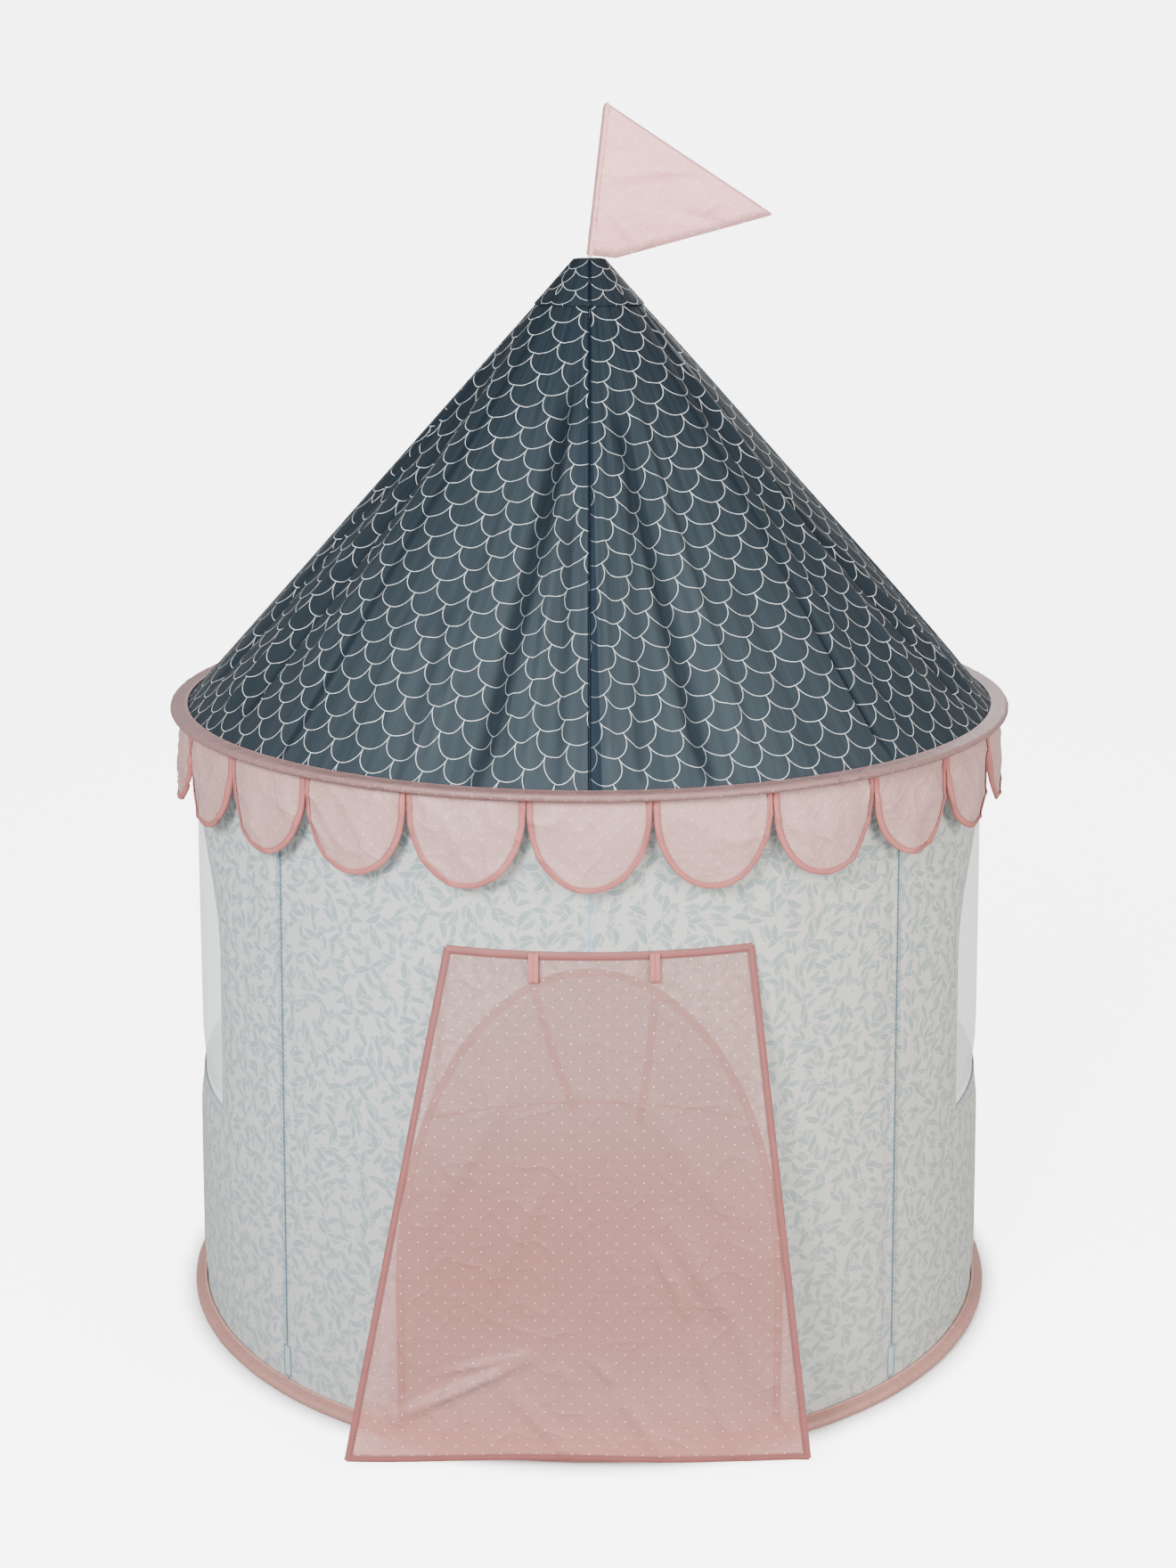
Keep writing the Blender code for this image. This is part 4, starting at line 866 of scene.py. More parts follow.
def fold_tone(place, start):
    """How deep in a fold's hollow a place lies, and how much on a raised fold, for painted shading.
    """
    tones = [0.0, 0.0]
    for fold in FOLDS[start]:
        present, beside = fold_shape(place, fold)
        if abs(beside) < FOLD_REACH:
            strength = present * min(1.0, abs(fold[3]) / 0.006) * math.exp(-beside * beside)
            tones[fold[3] > 0.0] += strength
    return tuple(min(1.0, tone) for tone in tones)


def taken_up(place, start):
    """How far the print is pulled aside by the cloth that the folds take up."""
    aside = 0.0
    for fold in FOLDS[start]:
        present, beside = fold_shape(place, fold)
        aside += present * fold[4] * 0.5 * math.tanh(beside)
    turn = math.atan2(place[0], place[1]) / HALF_GORE
    return aside + place[0] * 0.06 * turn * turn


def roof_surface(start, across, slope, lift=0.0):
    """A place on a gore: across its middle line, and down the slope from the apex's edge."""
    share = 1.0 - slope / SLOPE
    reach = slope + APEX_REACH
    angle = start + 45.0 + math.degrees(across / reach / math.cos(PITCH))
    return on_cone(angle, share, roof_ridge(angle, share) + roof_folds(across, slope, start) + lift)


print("ridge, and sag beside it:", [round(roof_ridge(turn, 0.5), 4) for turn in (45.0, 22.5)])


# %% Roof gores
GORE_ROWS = 130
LIP = 0.007
PRINT_START = {"front_left": (0.0480, 0.3160), "front_right": (-0.0990, 0.3110),
               "back_right": (0.011, 0.330), "back_left": (-0.037, 0.312)}

SEAM_GAP = 0.00006

for name, start in QUARTERS:
    columns = 250 if "front" in name else 150
    print_x, print_y = PRINT_START[name]

    def on_gore(i, j):
        """A point of the gore; the first row is the lip that is sewn into the brim."""
        slope = SLOPE * (1.0 - max(0, i - 1) / GORE_ROWS)
        reach = slope + APEX_REACH
        turn = (HALF_GORE - SEAM_GAP / reach) * (2.0 * j / columns - 1.0)
        point = roof_surface(start, reach * turn, slope)
        if i == 0:
            angle = start + 45.0 + math.degrees(turn / math.cos(PITCH))
            point = polar(ROOF_EDGE + LIP, angle, ROOF_EDGE_HEIGHT)
            reach += LIP
        place = (reach * math.sin(turn), reach * math.cos(turn))
        print_place = (place[0] + taken_up(place, start) - print_x, place[1] - print_y)
        seams = (reach * math.sin(HALF_GORE + turn), reach * math.sin(HALF_GORE - turn))
        return point, {"UVMap": print_place, "Edges": seams, "Fan": (turn, reach),
                       "Folds": fold_tone(place, start)}

    gore = grid_sheet(f"roof_gore_{name}", (GORE_ROWS + 1, columns), on_gore, ROOF)
    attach(gore, "tent")
    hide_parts(f"roof_panel_{name}")

# %% [markdown]
# ## The cap at the tip
# The four gores meet in a point that would fray, so a round cap of the same cloth is sewn over it.
# It could be one cone, but its print would then have one seam in the wrong place. So it is made as
# four quarters, each on the roof's own surface and with its print centred on a seam, and joined.


# %% Doubled cloth at the tip
CAP_SKIRT = 0.066
CAP_ROWS = 14
CAP_COLUMNS = 32
CAP_MOUTH = 0.0068
CAP_PRINT_SCALE = 1.4
CAP_PRINT_START = -0.0064
cap_slope = (CAP_SKIRT - APEX_RADIUS) / math.cos(PITCH)


def join_pieces(pieces, name):
    """Several pieces as one object, with one name."""
    pick(*pieces)
    bpy.ops.object.join()
    pieces[0].name = name
    pieces[0].data.name = name
    return pieces[0]


def cap_quarter(name, middle):
    """A quarter of the cap, between two ridges, with its print centred on the seam."""
    def on_cap(i, j):
        away = 90.0 * j / CAP_COLUMNS - 45.0
        angle = (middle + away) % 360.0
        turn = math.radians(away) * math.cos(PITCH)
        if i <= CAP_ROWS:
            slope = cap_slope * (1.0 - i / CAP_ROWS)
            reach = slope + APEX_REACH
            lift = CLOTH + AIR + 0.0006 * (1.0 + soft(angle * 0.11, slope * 30.0, 5.0))
            start = 90.0 * (angle // 90.0)
            across = reach * math.radians(angle - start - 45.0) * math.cos(PITCH)
            point = roof_surface(start, across, slope, lift)
        else:
            reach = APEX_REACH - 0.004 * (i - CAP_ROWS)
            rim = CAP_MOUTH + (APEX_RADIUS - CAP_MOUTH) * (CAP_ROWS + 2 - i) / 2.0
            point = polar(rim, angle, APEX_HEIGHT + CLOTH + AIR + 0.0009)
        from_seam = reach * abs(math.sin(turn))
        seams = (from_seam if away >= 0.0 else 0.05, from_seam if away <= 0.0 else 0.05)
        print_place = (CAP_PRINT_SCALE * reach * math.sin(turn),
                       CAP_PRINT_SCALE * reach * math.cos(turn) + CAP_PRINT_START)
        return point, {"UVMap": print_place, "Edges": seams, "Fan": (turn, reach),
                       "Folds": (0.0, 0.0)}

    return grid_sheet(name, (CAP_ROWS + 2, CAP_COLUMNS), on_cap, ROOF)


quarters = [cap_quarter(f"cap_quarter_{name}", start) for name, start in QUARTERS]
cap = join_pieces(quarters, "apex_cap_cloth")
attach(cap, "tent")
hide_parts("apex_cap")

# %% [markdown]
# ## Brim and base
# Two sprung hoops give the tent its round outline. Each runs in a casing of pink cloth that is
# folded round it and sewn shut. A torus would be quicker, but a casing is a strip bent round a
# ring, with two sewn edges and small puckers between them, so its profile is drawn and turned.


# %% Casings
CASING_COLUMNS = 640
CASING_STEP = 0.0022


def distances(points):
    """How far along a line each of its points lies."""
    runs = [0.0]
    for first, second in zip(points, points[1:]):
        runs.append(runs[-1] + (Vector(second) - Vector(first)).length)
    return runs


def casing(name, profile, node, radius, strip, material):
    """A strip of cloth bent round a hoop, from its profile of (radius, height)."""
    fine = []
    for first, second in zip(profile, profile[1:]):
        parts = max(1, round((Vector(second) - Vector(first)).length / CASING_STEP))
        fine += [Vector(first).lerp(Vector(second), k / parts) for k in range(parts)]
    fine.append(Vector(profile[-1]))
    runs = distances(fine)

    def on_casing(k, j):
        """A point of the strip; it puckers most halfway between its two sewn edges."""
        turn = 2 * math.pi * j / CASING_COLUMNS
        east, south = math.cos(turn), math.sin(turn)
        pucker = soft(east * radius * 95.0, south * radius * 95.0, k * 0.22)
        pucker += 0.6 * soft(east * 9.0, south * 9.0, 2.5)
        out = 0.00055 * math.sin(math.pi * k / (len(fine) - 1)) * pucker
        point = polar(fine[k].x + out, math.degrees(turn), fine[k].y + out * 0.6)
        from_edge = min(runs[k], runs[-1] - runs[k])
        return point, {"UVMap": (turn * radius, runs[k]), "Edges": (from_edge, runs[k])}

    piece = grid_sheet(name, (len(fine) - 1, CASING_COLUMNS), on_casing, material,
                       thickness=0.0009, ring=True)
    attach(piece, "tent")
    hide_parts(node)
    print(name, "cut:", round(2 * math.pi * radius, 3), "x", round(runs[-1], 4))


def loop(centre, height, size, low, high, steps=12):
    """Points round part of a loop, by angles in degrees above the level."""
    turns = [math.radians(low + (high - low) * k / steps) for k in range(steps + 1)]
    return [(centre + size * math.cos(t), height + size * math.sin(t)) for t in turns]


BRIM_LOOP = 0.0042
BRIM_FOOT = EAVES_CROWN - 2 * BRIM_LOOP
BRIM_SEAM = 0.50725
BRIM_INNER = 0.5046
brim_centre = (EAVES_RADIUS - BRIM_LOOP, EAVES_CROWN - BRIM_LOOP)
brim = [(BRIM_SEAM, BRIM_FOOT), *loop(*brim_centre, BRIM_LOOP, -90.0, 90.0),
        (BRIM_INNER, EAVES_CROWN)]
casing("eaves_casing_cloth", brim, "eaves_casing", EAVES_RADIUS, "eaves_hoop", BRIM)

BASE_LOOP = 0.0066
BASE_INNER = 0.5075
BASE_SEAM = 0.5142
FLOOR_GAP = 0.0002
base_loop = loop(BASE_RADIUS - BASE_LOOP, BASE_LOOP, BASE_LOOP - FLOOR_GAP, -90.0, 78.0)
base = [(BASE_INNER, FLOOR_GAP), *base_loop, (BASE_SEAM, base_high.z)]
casing("base_casing_cloth", base, "base_casing", BASE_RADIUS, "base_hoop", CASING)

# %% [markdown]
# ## The petals
# Under the brim hang twenty-four petals with bound edges. A petal is cut flat, bound, and then
# gathered a little, which is why its middle stands out and small creases start at its top corners.
# Copies of one petal would look stamped, so each one takes its creases from its own place.

# %% Petal surface
VALANCE_RADIUS = 0.5125
VALANCE_TOP = BRIM_FOOT - 0.0005
PETAL_DROP = 0.0955 + BRIM_FOOT - EAVES_FOOT
PETAL_BAND = 0.006
PETAL_SIDE = 0.15
PETAL_PITCH = 15.0
PETAL_HALF = VALANCE_RADIUS * math.radians(PETAL_PITCH / 2) - 0.0016


def petal_fall(across):
    """How far a petal hangs at a place across it."""
    share = min(1.0, abs(across) / PETAL_HALF)
    curve = math.sqrt(1.0 - share ** 2.1)
    return PETAL_BAND + (PETAL_DROP - PETAL_BAND) * (PETAL_SIDE + (1.0 - PETAL_SIDE) * curve)


def ridges(x, y, seed):
    """Sharp crooked ridges between soft hollows, from 0 to 1."""
    return (1.0 - abs(soft(x, y, seed))) ** 9


def petal_surface(middle, across, fall, lift=0.0):
    """A place on a petal: across its middle line and down from the brim."""
    seed = middle * 0.37 + 2.0
    down = fall / PETAL_DROP
    share = across / PETAL_HALF
    free = smooth(0.0, 0.15, down)
    puff = 0.0060 * (1.0 - abs(share) ** 2.4) * smooth(0.0, 0.55, down)
    tilt = soft(seed, 0.3, 1.0)
    curl = 0.0042 * tilt * share * smooth(0.2, 1.0, down)
    creases = 0.0020 * soft(across * 42.0 + fall * 17.0 * tilt, fall * 15.0, seed)
    crooked = (across * 17.0 + fall * 26.0 * tilt, fall * 19.0 - across * 9.0)
    creases += 0.0028 * ridges(*crooked, seed + 7.0)
    creases += 0.0010 * soft(across * 95.0, fall * 20.0, seed + 3.0) * math.exp(-fall / 0.03)
    corner = abs(abs(share) - 0.55)
    pull = 0.0018 * math.exp(-(corner / 0.16) ** 2) * math.exp(-((down - 0.25) / 0.2) ** 2)
    out = puff + curl + (creases + pull) * free + 0.002 * down + lift
    sway = 0.020 * fall * soft(seed, 4.1, 2.0)
    turn = math.degrees((across * (1.0 - 0.035 * down * (1.0 + tilt)) + sway) / VALANCE_RADIUS)
    return polar(VALANCE_RADIUS + out, middle + turn, VALANCE_TOP - fall)


print("a petal is", round(2 * PETAL_HALF, 4), "wide and drops", round(PETAL_DROP, 4))

# %% [markdown]
# ## Tape along an edge
# Petals and flap are bound: a tape is folded over the raw edge and sewn through. A bevelled rim
# would look alike from far off, but tape has a front, a back and a turn between them, and puckers
# where it is stitched. So its folded section is carried along the edge, by the cloth's own rule.


# %% Tape along an edge
def line_length(points):
    """The length of a line of points."""
    return sum((Vector(b) - Vector(a)).length for a, b in zip(points, points[1:]))


def spread_evenly(points, step):
    """The same line with its points an even step apart."""
    total = line_length(points)
    count = max(2, round(total / step))
    spaced = [tuple(points[0])]
    for first, second in zip(points, points[1:]):
        length = (Vector(second) - Vector(first)).length
        while length > 1e-9 and len(spaced) < count:
            along = total / count - (Vector(first) - Vector(spaced[-1])).length
            if along > length:
                break
            first = tuple(Vector(first).lerp(Vector(second), max(0.0, along) / length))
            spaced.append(first)
            length = (Vector(second) - Vector(first)).length
    spaced.append(tuple(points[-1]))
    return spaced


def folded_tape(name, edge, section, place, material, thickness):
    """Tape that follows an edge; `place` gives a point and a map place for each of its folds."""
    runs = distances(edge)

    def at(k, fold):
        before, after = edge[max(0, k - 1)], edge[min(len(edge) - 1, k + 1)]
        run = (Vector(after) - Vector(before)).normalized()
        return place(Vector(edge[k]), run, runs[k], *section[fold])

    steps = (len(edge) - 1, len(section) - 1)
    return grid_sheet(name, steps, at, material, thickness)


def edge_tape(name, edge, surface, width, material, back=CLOTH):
    """Binding tape folded over a cloth's edge, a line of flat points with the cloth at its left."""
    thickness = 0.0005
    plump = 0.0004
    face = AIR + thickness
    rear = -back - face
    section = ((width, face), (width * 0.86, face + plump), (width * 0.5, face + plump * 1.6),
               (width * 0.14, face + plump), (-face * 0.7, face * 0.55), (-face * 0.95, -back / 2),
               (-face * 0.7, rear + face * 0.45), (width * 0.14, rear - plump),
               (width * 0.5, rear - plump), (width, rear))

    def place(point, run, along, inset, lift):
        pucker = 0.00035 * soft(along * 260.0, inset * 120.0, 3.7) * (lift > 0.0)
        flat = point + Vector((-run.y, run.x)) * inset
        map_place = (along, inset - width + 0.0013 if lift > -back / 2 else inset)
        return surface(flat.x, flat.y, lift + pucker), {"UVMap": map_place}

    return folded_tape(name, edge, section, place, material, thickness)


print("tape helpers ready")


# %% Petals and their binding
PETAL_COLUMNS = 34
PETAL_ROWS = 26
PETAL_TAPE = 0.0054
PETALS_A_QUARTER = 6
RAW_EDGE = 0.0004


def petal_edge():
    """Flat points round a petal's free edge, down its left side and up its right."""
    edge = [(-PETAL_HALF, PETAL_BAND * k / 2) for k in range(2)]
    side = petal_fall(PETAL_HALF)
    edge += [(-PETAL_HALF, PETAL_BAND + (side - PETAL_BAND) * k / 8) for k in range(8)]
    for k in range(61):
        across = -math.cos(math.pi * k / 60)
        edge.append((PETAL_HALF * across, petal_fall(PETAL_HALF * across)))
    return edge + [(PETAL_HALF, fall) for _, fall in reversed(edge[:10])]


PETAL_EDGE = spread_evenly(petal_edge(), 0.0032)

for name, start in QUARTERS:
    cloths, tapes = [], []
    for petal in range(PETALS_A_QUARTER):
        middle = start + PETAL_PITCH * petal

        def on_petal(across, fall, lift=0.0):
            return petal_surface(middle, across, fall, lift)

        def petal_place(i, j):
            """A point of the petal; its raw edge ends inside the binding."""
            across = (PETAL_HALF - RAW_EDGE) * math.sin(math.pi * (j / PETAL_COLUMNS - 0.5))
            fall = (petal_fall(across) - RAW_EDGE) * (1.0 - i / PETAL_ROWS)
            print_place = (across + middle * 0.0091, fall + petal * 0.007)
            return on_petal(across, fall), {"UVMap": print_place}

        label = f"valance_{name}_{petal}"
        cloths.append(grid_sheet(f"{label}_cloth", (PETAL_ROWS, PETAL_COLUMNS), petal_place, PETAL))
        tapes.append(edge_tape(f"{label}_tape", PETAL_EDGE[::-1], on_petal, PETAL_TAPE, TAPE))
    strip = join_pieces(cloths, f"valance_petals_{name}")
    bound = join_pieces(tapes, f"valance_binding_{name}")
    for piece in (strip, bound):
        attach(piece, "tent")
    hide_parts(f"valance_{name}")
    tape_length = PETALS_A_QUARTER * line_length(PETAL_EDGE)

# %% [markdown]
# ## The wall
# Four panels of thin printed cloth stand between the two hoops. The light through the thin cloth is
# painted on as a glow of the cloth's own colour, and each pole channel shows as a blue-grey seam
# line with painted shade beside it. The openings could be left to transparency, but a real edge
# has thickness and a hem, so each arch is cut through the sheet with a Boolean.

# %% Wall surface
WALL_COLUMNS = 150
WALL_ROWS = 150
DOOR = {"half": 0.222, "sill": 0.0158, "spring": 0.17, "top": 0.585}
WINDOW = {"half": 0.225, "sill": 0.308, "spring": 0.50, "top": 0.69}


def arch_distance(opening, across, height):
    """Distance outside an arched opening, about; below zero inside it."""
    beside = abs(across) - opening["half"]
    if height <= opening["spring"]:
        return max(beside, opening["sill"] - height)
    rise = opening["top"] - opening["spring"]
    up = (height - opening["spring"]) / rise
    wide = abs(across) / opening["half"]
    length = math.sqrt(up * up + wide * wide)
    slope = math.sqrt((up / rise) ** 2 + (wide / opening["half"]) ** 2)
    return (length - 1.0) * length / max(slope, 1e-6)


def turn_from(middle, angle):
    """The turn from one angle to another, from -180 to 180 degrees."""
    return (angle - middle + 180.0) % 360.0 - 180.0


def opening_distances(angle, height):
    """Distance to the nearer window's edge, and to the door's."""
    far = 1.0
    found = []
    for opening, middles in ((WINDOW, (90.0, 270.0)), (DOOR, (0.0,))):
        distance = far
        for middle in middles:
            turn = turn_from(middle, angle)
            if abs(turn) < 60.0:
                across = wall_radius(height) * math.sin(math.radians(turn))
                distance = arch_distance(opening, across, height)
        found.append(distance)
    return tuple(found)


def wall_folds(angle, height):
    """Soft upright folds: slack between pole and window, and nearly none round the door."""
    window, door = opening_distances(angle, height)
    below_top = WALL_TOP - height
    free = smooth(0.012, 0.06, height) * smooth(0.0, 0.03, below_top)
    free *= smooth(0.0, 0.05, min(window, 0.9)) * smooth(0.004, 0.06, min(door, 0.9))
    east, south = math.sin(math.radians(angle)), math.cos(math.radians(angle))
    broad = soft(east * 7.0, south * 7.0, height * 1.6)
    narrow = soft(east * 22.0, south * 22.0, height * 2.4 + 5.0)
    fine = soft(east * 48.0, south * 48.0, height * 5.0 + 9.0)
    away = abs(angle % 90.0 - 45.0)
    side = smooth(2.0, 10.0, away) * smooth(25.0, 60.0, abs(turn_from(0.0, angle)))
    out = 0.0036 * (0.5 + 0.5 * broad) + 0.0018 * (0.5 + narrow * 0.5) * (0.35 + side)
    out += 0.0006 * (0.5 + 0.5 * fine) * (0.4 + side)
    gather = math.exp(-below_top / 0.03) * 0.0006 * (1.0 + fine) * smooth(0.0, 0.004, below_top)
    channel = 0.0016 * math.exp(-((away / 0.75) ** 2)) * smooth(0.01, 0.05, height)
    return out * free * smooth(0.4, 3.0, away) + gather + channel


def wall_surface(angle, height, lift=0.0):
    """A place on the wall's outer face."""
    return polar(wall_radius(height) + wall_folds(angle, height) + lift, angle, height)


print("door:", DOOR, "window:", WINDOW)


# %% Cutting an opening
def arch_cutter(name, opening, facing, grown=0.0):
    """A prism of an arch's outline, extruded from inside the tent to outside it."""
    half = opening["half"] + grown
    outline = [(half, opening["sill"] - grown)]
    for k in range(73):
        turn = math.pi * k / 72
        rise = opening["top"] - opening["spring"] + grown
        outline.append((half * math.cos(turn), opening["spring"] + rise * math.sin(turn)))
    outline.append((-half, opening["sill"] - grown))
    across = Vector((0, 0, 1)).cross(facing)
    near = [facing * 0.2 + across * x + Vector((0, 0, z)) for x, z in outline]
    mesh = bpy.data.meshes.new(name)
    mesh.from_pydata(near, [], [tuple(range(len(near)))])
    cutter = bpy.data.objects.new(name, mesh)
    bpy.context.scene.collection.objects.link(cutter)
    pick(cutter)
    bpy.ops.object.mode_set(mode="EDIT")
    bpy.ops.mesh.select_all(action="SELECT")
    bpy.ops.mesh.extrude_region_move(TRANSFORM_OT_translate={"value": facing * 0.45})
    bpy.ops.mesh.select_all(action="SELECT")
    bpy.ops.mesh.normals_make_consistent(inside=False)
    bpy.ops.object.mode_set(mode="OBJECT")
    return cutter


def cut(piece, cutter, operation="DIFFERENCE"):
    """Cuts a piece with a cutter and removes the cutter."""
    apply_modifier(piece, "BOOLEAN", "opening", {"operation": operation, "object": cutter})
    bpy.data.objects.remove(cutter)


print("cutter ready")

# %% Wall panels
LEFT = Vector((-1.0, 0.0, 0.0))
RIGHT = Vector((1.0, 0.0, 0.0))
FRONT = Vector((0.0, -1.0, 0.0))
WALL_BOTTOM = 0.0016
WALL_GAP = 0.0004
WALL_DEGREE = math.radians(0.503)
SEAM_TURN = math.degrees(0.00004 / WALL_TOP_RADIUS)

for name, start in QUARTERS:
    def on_wall(i, j):
        """A point of the panel, with its distances from the seams, the pole and the openings."""
        height = WALL_BOTTOM + (WALL_TOP - WALL_BOTTOM - WALL_GAP) * i / WALL_ROWS
        angle = start + SEAM_TURN + (90.0 - 2 * SEAM_TURN) * j / WALL_COLUMNS
        from_seam = min(angle - start, start + 90.0 - angle) * WALL_DEGREE
        from_pole = abs(angle - start - 45.0) * WALL_DEGREE
        holes = tuple(min(value, 0.5) for value in opening_distances(angle, height))
        return wall_surface(angle, height), {"UVMap": (angle * WALL_DEGREE, height),
                                             "Edges": (from_seam, from_pole), "Openings": holes}

    panel = grid_sheet(f"wall_cloth_{name}", (WALL_ROWS, WALL_COLUMNS), on_wall, WALL)
    cut(panel, arch_cutter("window_cutter", WINDOW, RIGHT if "right" in name else LEFT))
    if "front" in name:
        cut(panel, arch_cutter("door_cutter", DOOR, FRONT))
    finish_piece(panel, WALL)
    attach(panel, "tent")
    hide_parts(f"wall_panel_{name}")
    area = sum(face.area for face in panel.data.polygons) / 2
    quarter = math.radians(90.0) * WALL_FOOT_RADIUS
    print(panel.name, "area", round(area, 3), "of", round(quarter * WALL_TOP, 3))

# %% [markdown]
# ## The windows
# Each side has a window of sheer net, sewn behind the cut cloth. It could be a flat pane in the
# hole, but real net reaches past the hem and hangs slack inside it, so it is a sheet of its own.

# %% Window nets
NET_MARGIN = 0.024
NET_HEM = 0.0118
NET_HALF_TURN = 31.0
NET_DEPTH = 0.0029
NET_ROWS = 70
NET_COLUMNS = 80
net_low, net_high = WINDOW["sill"] - NET_MARGIN, WINDOW["top"] + NET_MARGIN

for label, middle, facing in (("right", 90.0, RIGHT), ("left", 270.0, LEFT)):
    def on_net(i, j):
        """A point of the net, which hangs slack inside the window and flat under its hem."""
        height = net_low + (net_high - net_low) * i / NET_ROWS
        angle = middle + NET_HALF_TURN * (2.0 * j / NET_COLUMNS - 1.0)
        window = opening_distances(angle, height)[0]
        drape = soft(angle * 0.16, height * 2.2, middle)
        billow = smooth(0.0, 0.06, -window) * (0.0052 * (0.5 + 0.5 * drape) + 0.0015)
        point = polar(wall_radius(height) - NET_DEPTH + billow, angle, height)
        from_hem = max(0.0, -window)
        return point, {"UVMap": (math.radians(angle) * 0.5, height), "Edges": (from_hem, 0.0)}

    net = grid_sheet(f"window_net_cloth_{label}", (NET_ROWS, NET_COLUMNS), on_net, NET,
                     thickness=0.0006)
    cut(net, arch_cutter("net_cutter", WINDOW, facing, NET_HEM), "INTERSECT")
    finish_piece(net, NET)
    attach(net, "tent")
    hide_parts(f"window_net_{label}")
    area = sum(face.area for face in net.data.polygons) / 2

# %% [markdown]
# ## The doorway's binding
# The cut edge of the doorway is bound with tape like the petals. It could use the petals' section,
# but it lies on a stretched wall and is wider and flatter, so it has a section of its own. It
# follows the arch that was cut, a fraction of a millimetre inside it.

# %% Binding of the doorway
ARCH_HALF = 0.2216
ARCH_RISE = 0.4146
ARCH_FOOT = 0.0164
ARCH_STEP = 0.004
ARCH_SECTION = ((0.0, 0.0009), (0.0015, 0.0012), (0.0045, 0.0013), (0.0078, 0.0012), (0.0088, 0.0),
                (0.0088, -0.0010), (0.0078, -0.0022), (0.0045, -0.0023), (0.0015, -0.0022),
                (0.0, -0.0019))


def on_arch(point, run, along, inset, lift):
    """A place on the tape, which fills the 9 mm inside the cut edge of the wall."""
    flat = point + Vector((run.y, -run.x)) * (inset + 0.0002)
    radius = wall_radius(flat.y)
    pucker = 0.0003 * soft(along * 200.0, inset * 100.0, 6.1)
    point = wall_surface(math.degrees(math.asin(flat.x / radius)), flat.y, lift + pucker)
    return point, {"UVMap": (along, inset - 0.0012)}


upright = [(-ARCH_HALF, ARCH_FOOT + ARCH_STEP * k) for k in range(39)]
arch = list(upright)
for k in range(109):
    turn = math.pi * (1.0 - k / 108)
    arch.append((ARCH_HALF * math.cos(turn), DOOR["spring"] + ARCH_RISE * math.sin(turn)))
arch += [(-x, z) for x, z in reversed(upright)]
arch = spread_evenly(arch, ARCH_STEP)
arch_tape = folded_tape("door_arch_tape", arch, ARCH_SECTION, on_arch, SHADED_TIE, 0.0006)
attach(arch_tape, "tent")
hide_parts("door_arch_binding")
distances(arch)[-1]

print("arch tape:", round(distances(arch)[-1], 3), "long")

# %% [markdown]
# ## Foot patches
# At the foot of each pole a small patch is sewn on outside, to spread the pull over the wall cloth.
# It could be part of the wall's print, but its edge stands up a little and catches the light.

# %% Foot patches
CORNERS = (45.0, 135.0, 225.0, 315.0)
PATCH_HALF = 0.0075
PATCH_LOW = 0.0172
PATCH_HIGH = 0.0600
PATCH_ROWS = 18
PATCH_COLUMNS = 12

for number, angle in enumerate(CORNERS, start=1):
    def on_patch(i, j):
        """A point of the patch, just outside the wall cloth."""
        height = PATCH_LOW + (PATCH_HIGH - PATCH_LOW) * i / PATCH_ROWS
        across = PATCH_HALF * (2.0 * j / PATCH_COLUMNS - 1.0)
        turn = angle + math.degrees(across / wall_radius(height))
        point = wall_surface(turn, height, 0.0009 + 0.0003 * soft(across * 300, height * 90, 2.0))
        from_edge = min(PATCH_HALF - abs(across), height - PATCH_LOW, PATCH_HIGH - height)
        return point, {"UVMap": (across, height), "Edges": (from_edge, 0.0)}

    patch = grid_sheet(f"foot_patch_{number}", (PATCH_ROWS, PATCH_COLUMNS), on_patch, PATCH,
                       thickness=0.0005)
    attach(patch, "tent")

# %% [markdown]
# ## Pockets and channels
# The poles run in channels of plain lining, tubes of cloth a little wider than the rod, and end in
# pockets that take the strain. They could be left out, since only an open door shows them, but a
# cloth that touches no rod would not stand. One helper makes all three kinds.

# %% Pockets and channels
POLE_INSET = 0.0080
POLE_FOOT = 0.0015
EAVES_SHARE = 0.0270
CHANNEL_RADIUS = 0.0061
POCKET_RADIUS = 0.0062
TUBE_SIDES = 20
POCKET_START = 0.0006
POCKET_LENGTH = 0.0442
CHANNEL_START = 0.0495
CHANNEL_SHORT = 0.0960
ROOF_CHANNEL_START = 0.0912
ROOF_CHANNEL_SHARE = 0.8205


def soft_tube(name, node, path, radius, panel, thickness=0.0007, wobble=0.03):
    """A tube of lining cloth round a path of points, a little uneven; its panel is not used."""
    runs = distances(path)

    def on_tube(i, j):
        """A point of the tube; its rows go back from the path's far end, so it faces outwards."""
        k = len(path) - 1 - i
        run = (path[min(k + 1, len(path) - 1)] - path[max(0, k - 1)]).normalized()
        side = run.cross(Vector((0.0, 0.0, 1.0))).normalized()
        turn = 2 * math.pi * j / TUBE_SIDES
        spoke = side * math.cos(turn) + run.cross(side) * math.sin(turn)
        uneven = 0.5 + 0.5 * soft(math.cos(turn) + runs[k] * 22.0, math.sin(turn), 8.0)
        point = path[k] + spoke * (radius * (1.0 - wobble * uneven))
        return point, {"UVMap": (turn * radius, runs[k])}

    piece = grid_sheet(name, (len(path) - 1, TUBE_SIDES), on_tube, LINING, thickness,
                       ring=True)
    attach(piece, "tent")
    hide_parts(node)


def roof_line(angle, share):
    """A point on a roof pole's centre line, a fixed depth under the ridge."""
    return on_cone(angle, share, roof_ridge(angle, share) - POLE_INSET)


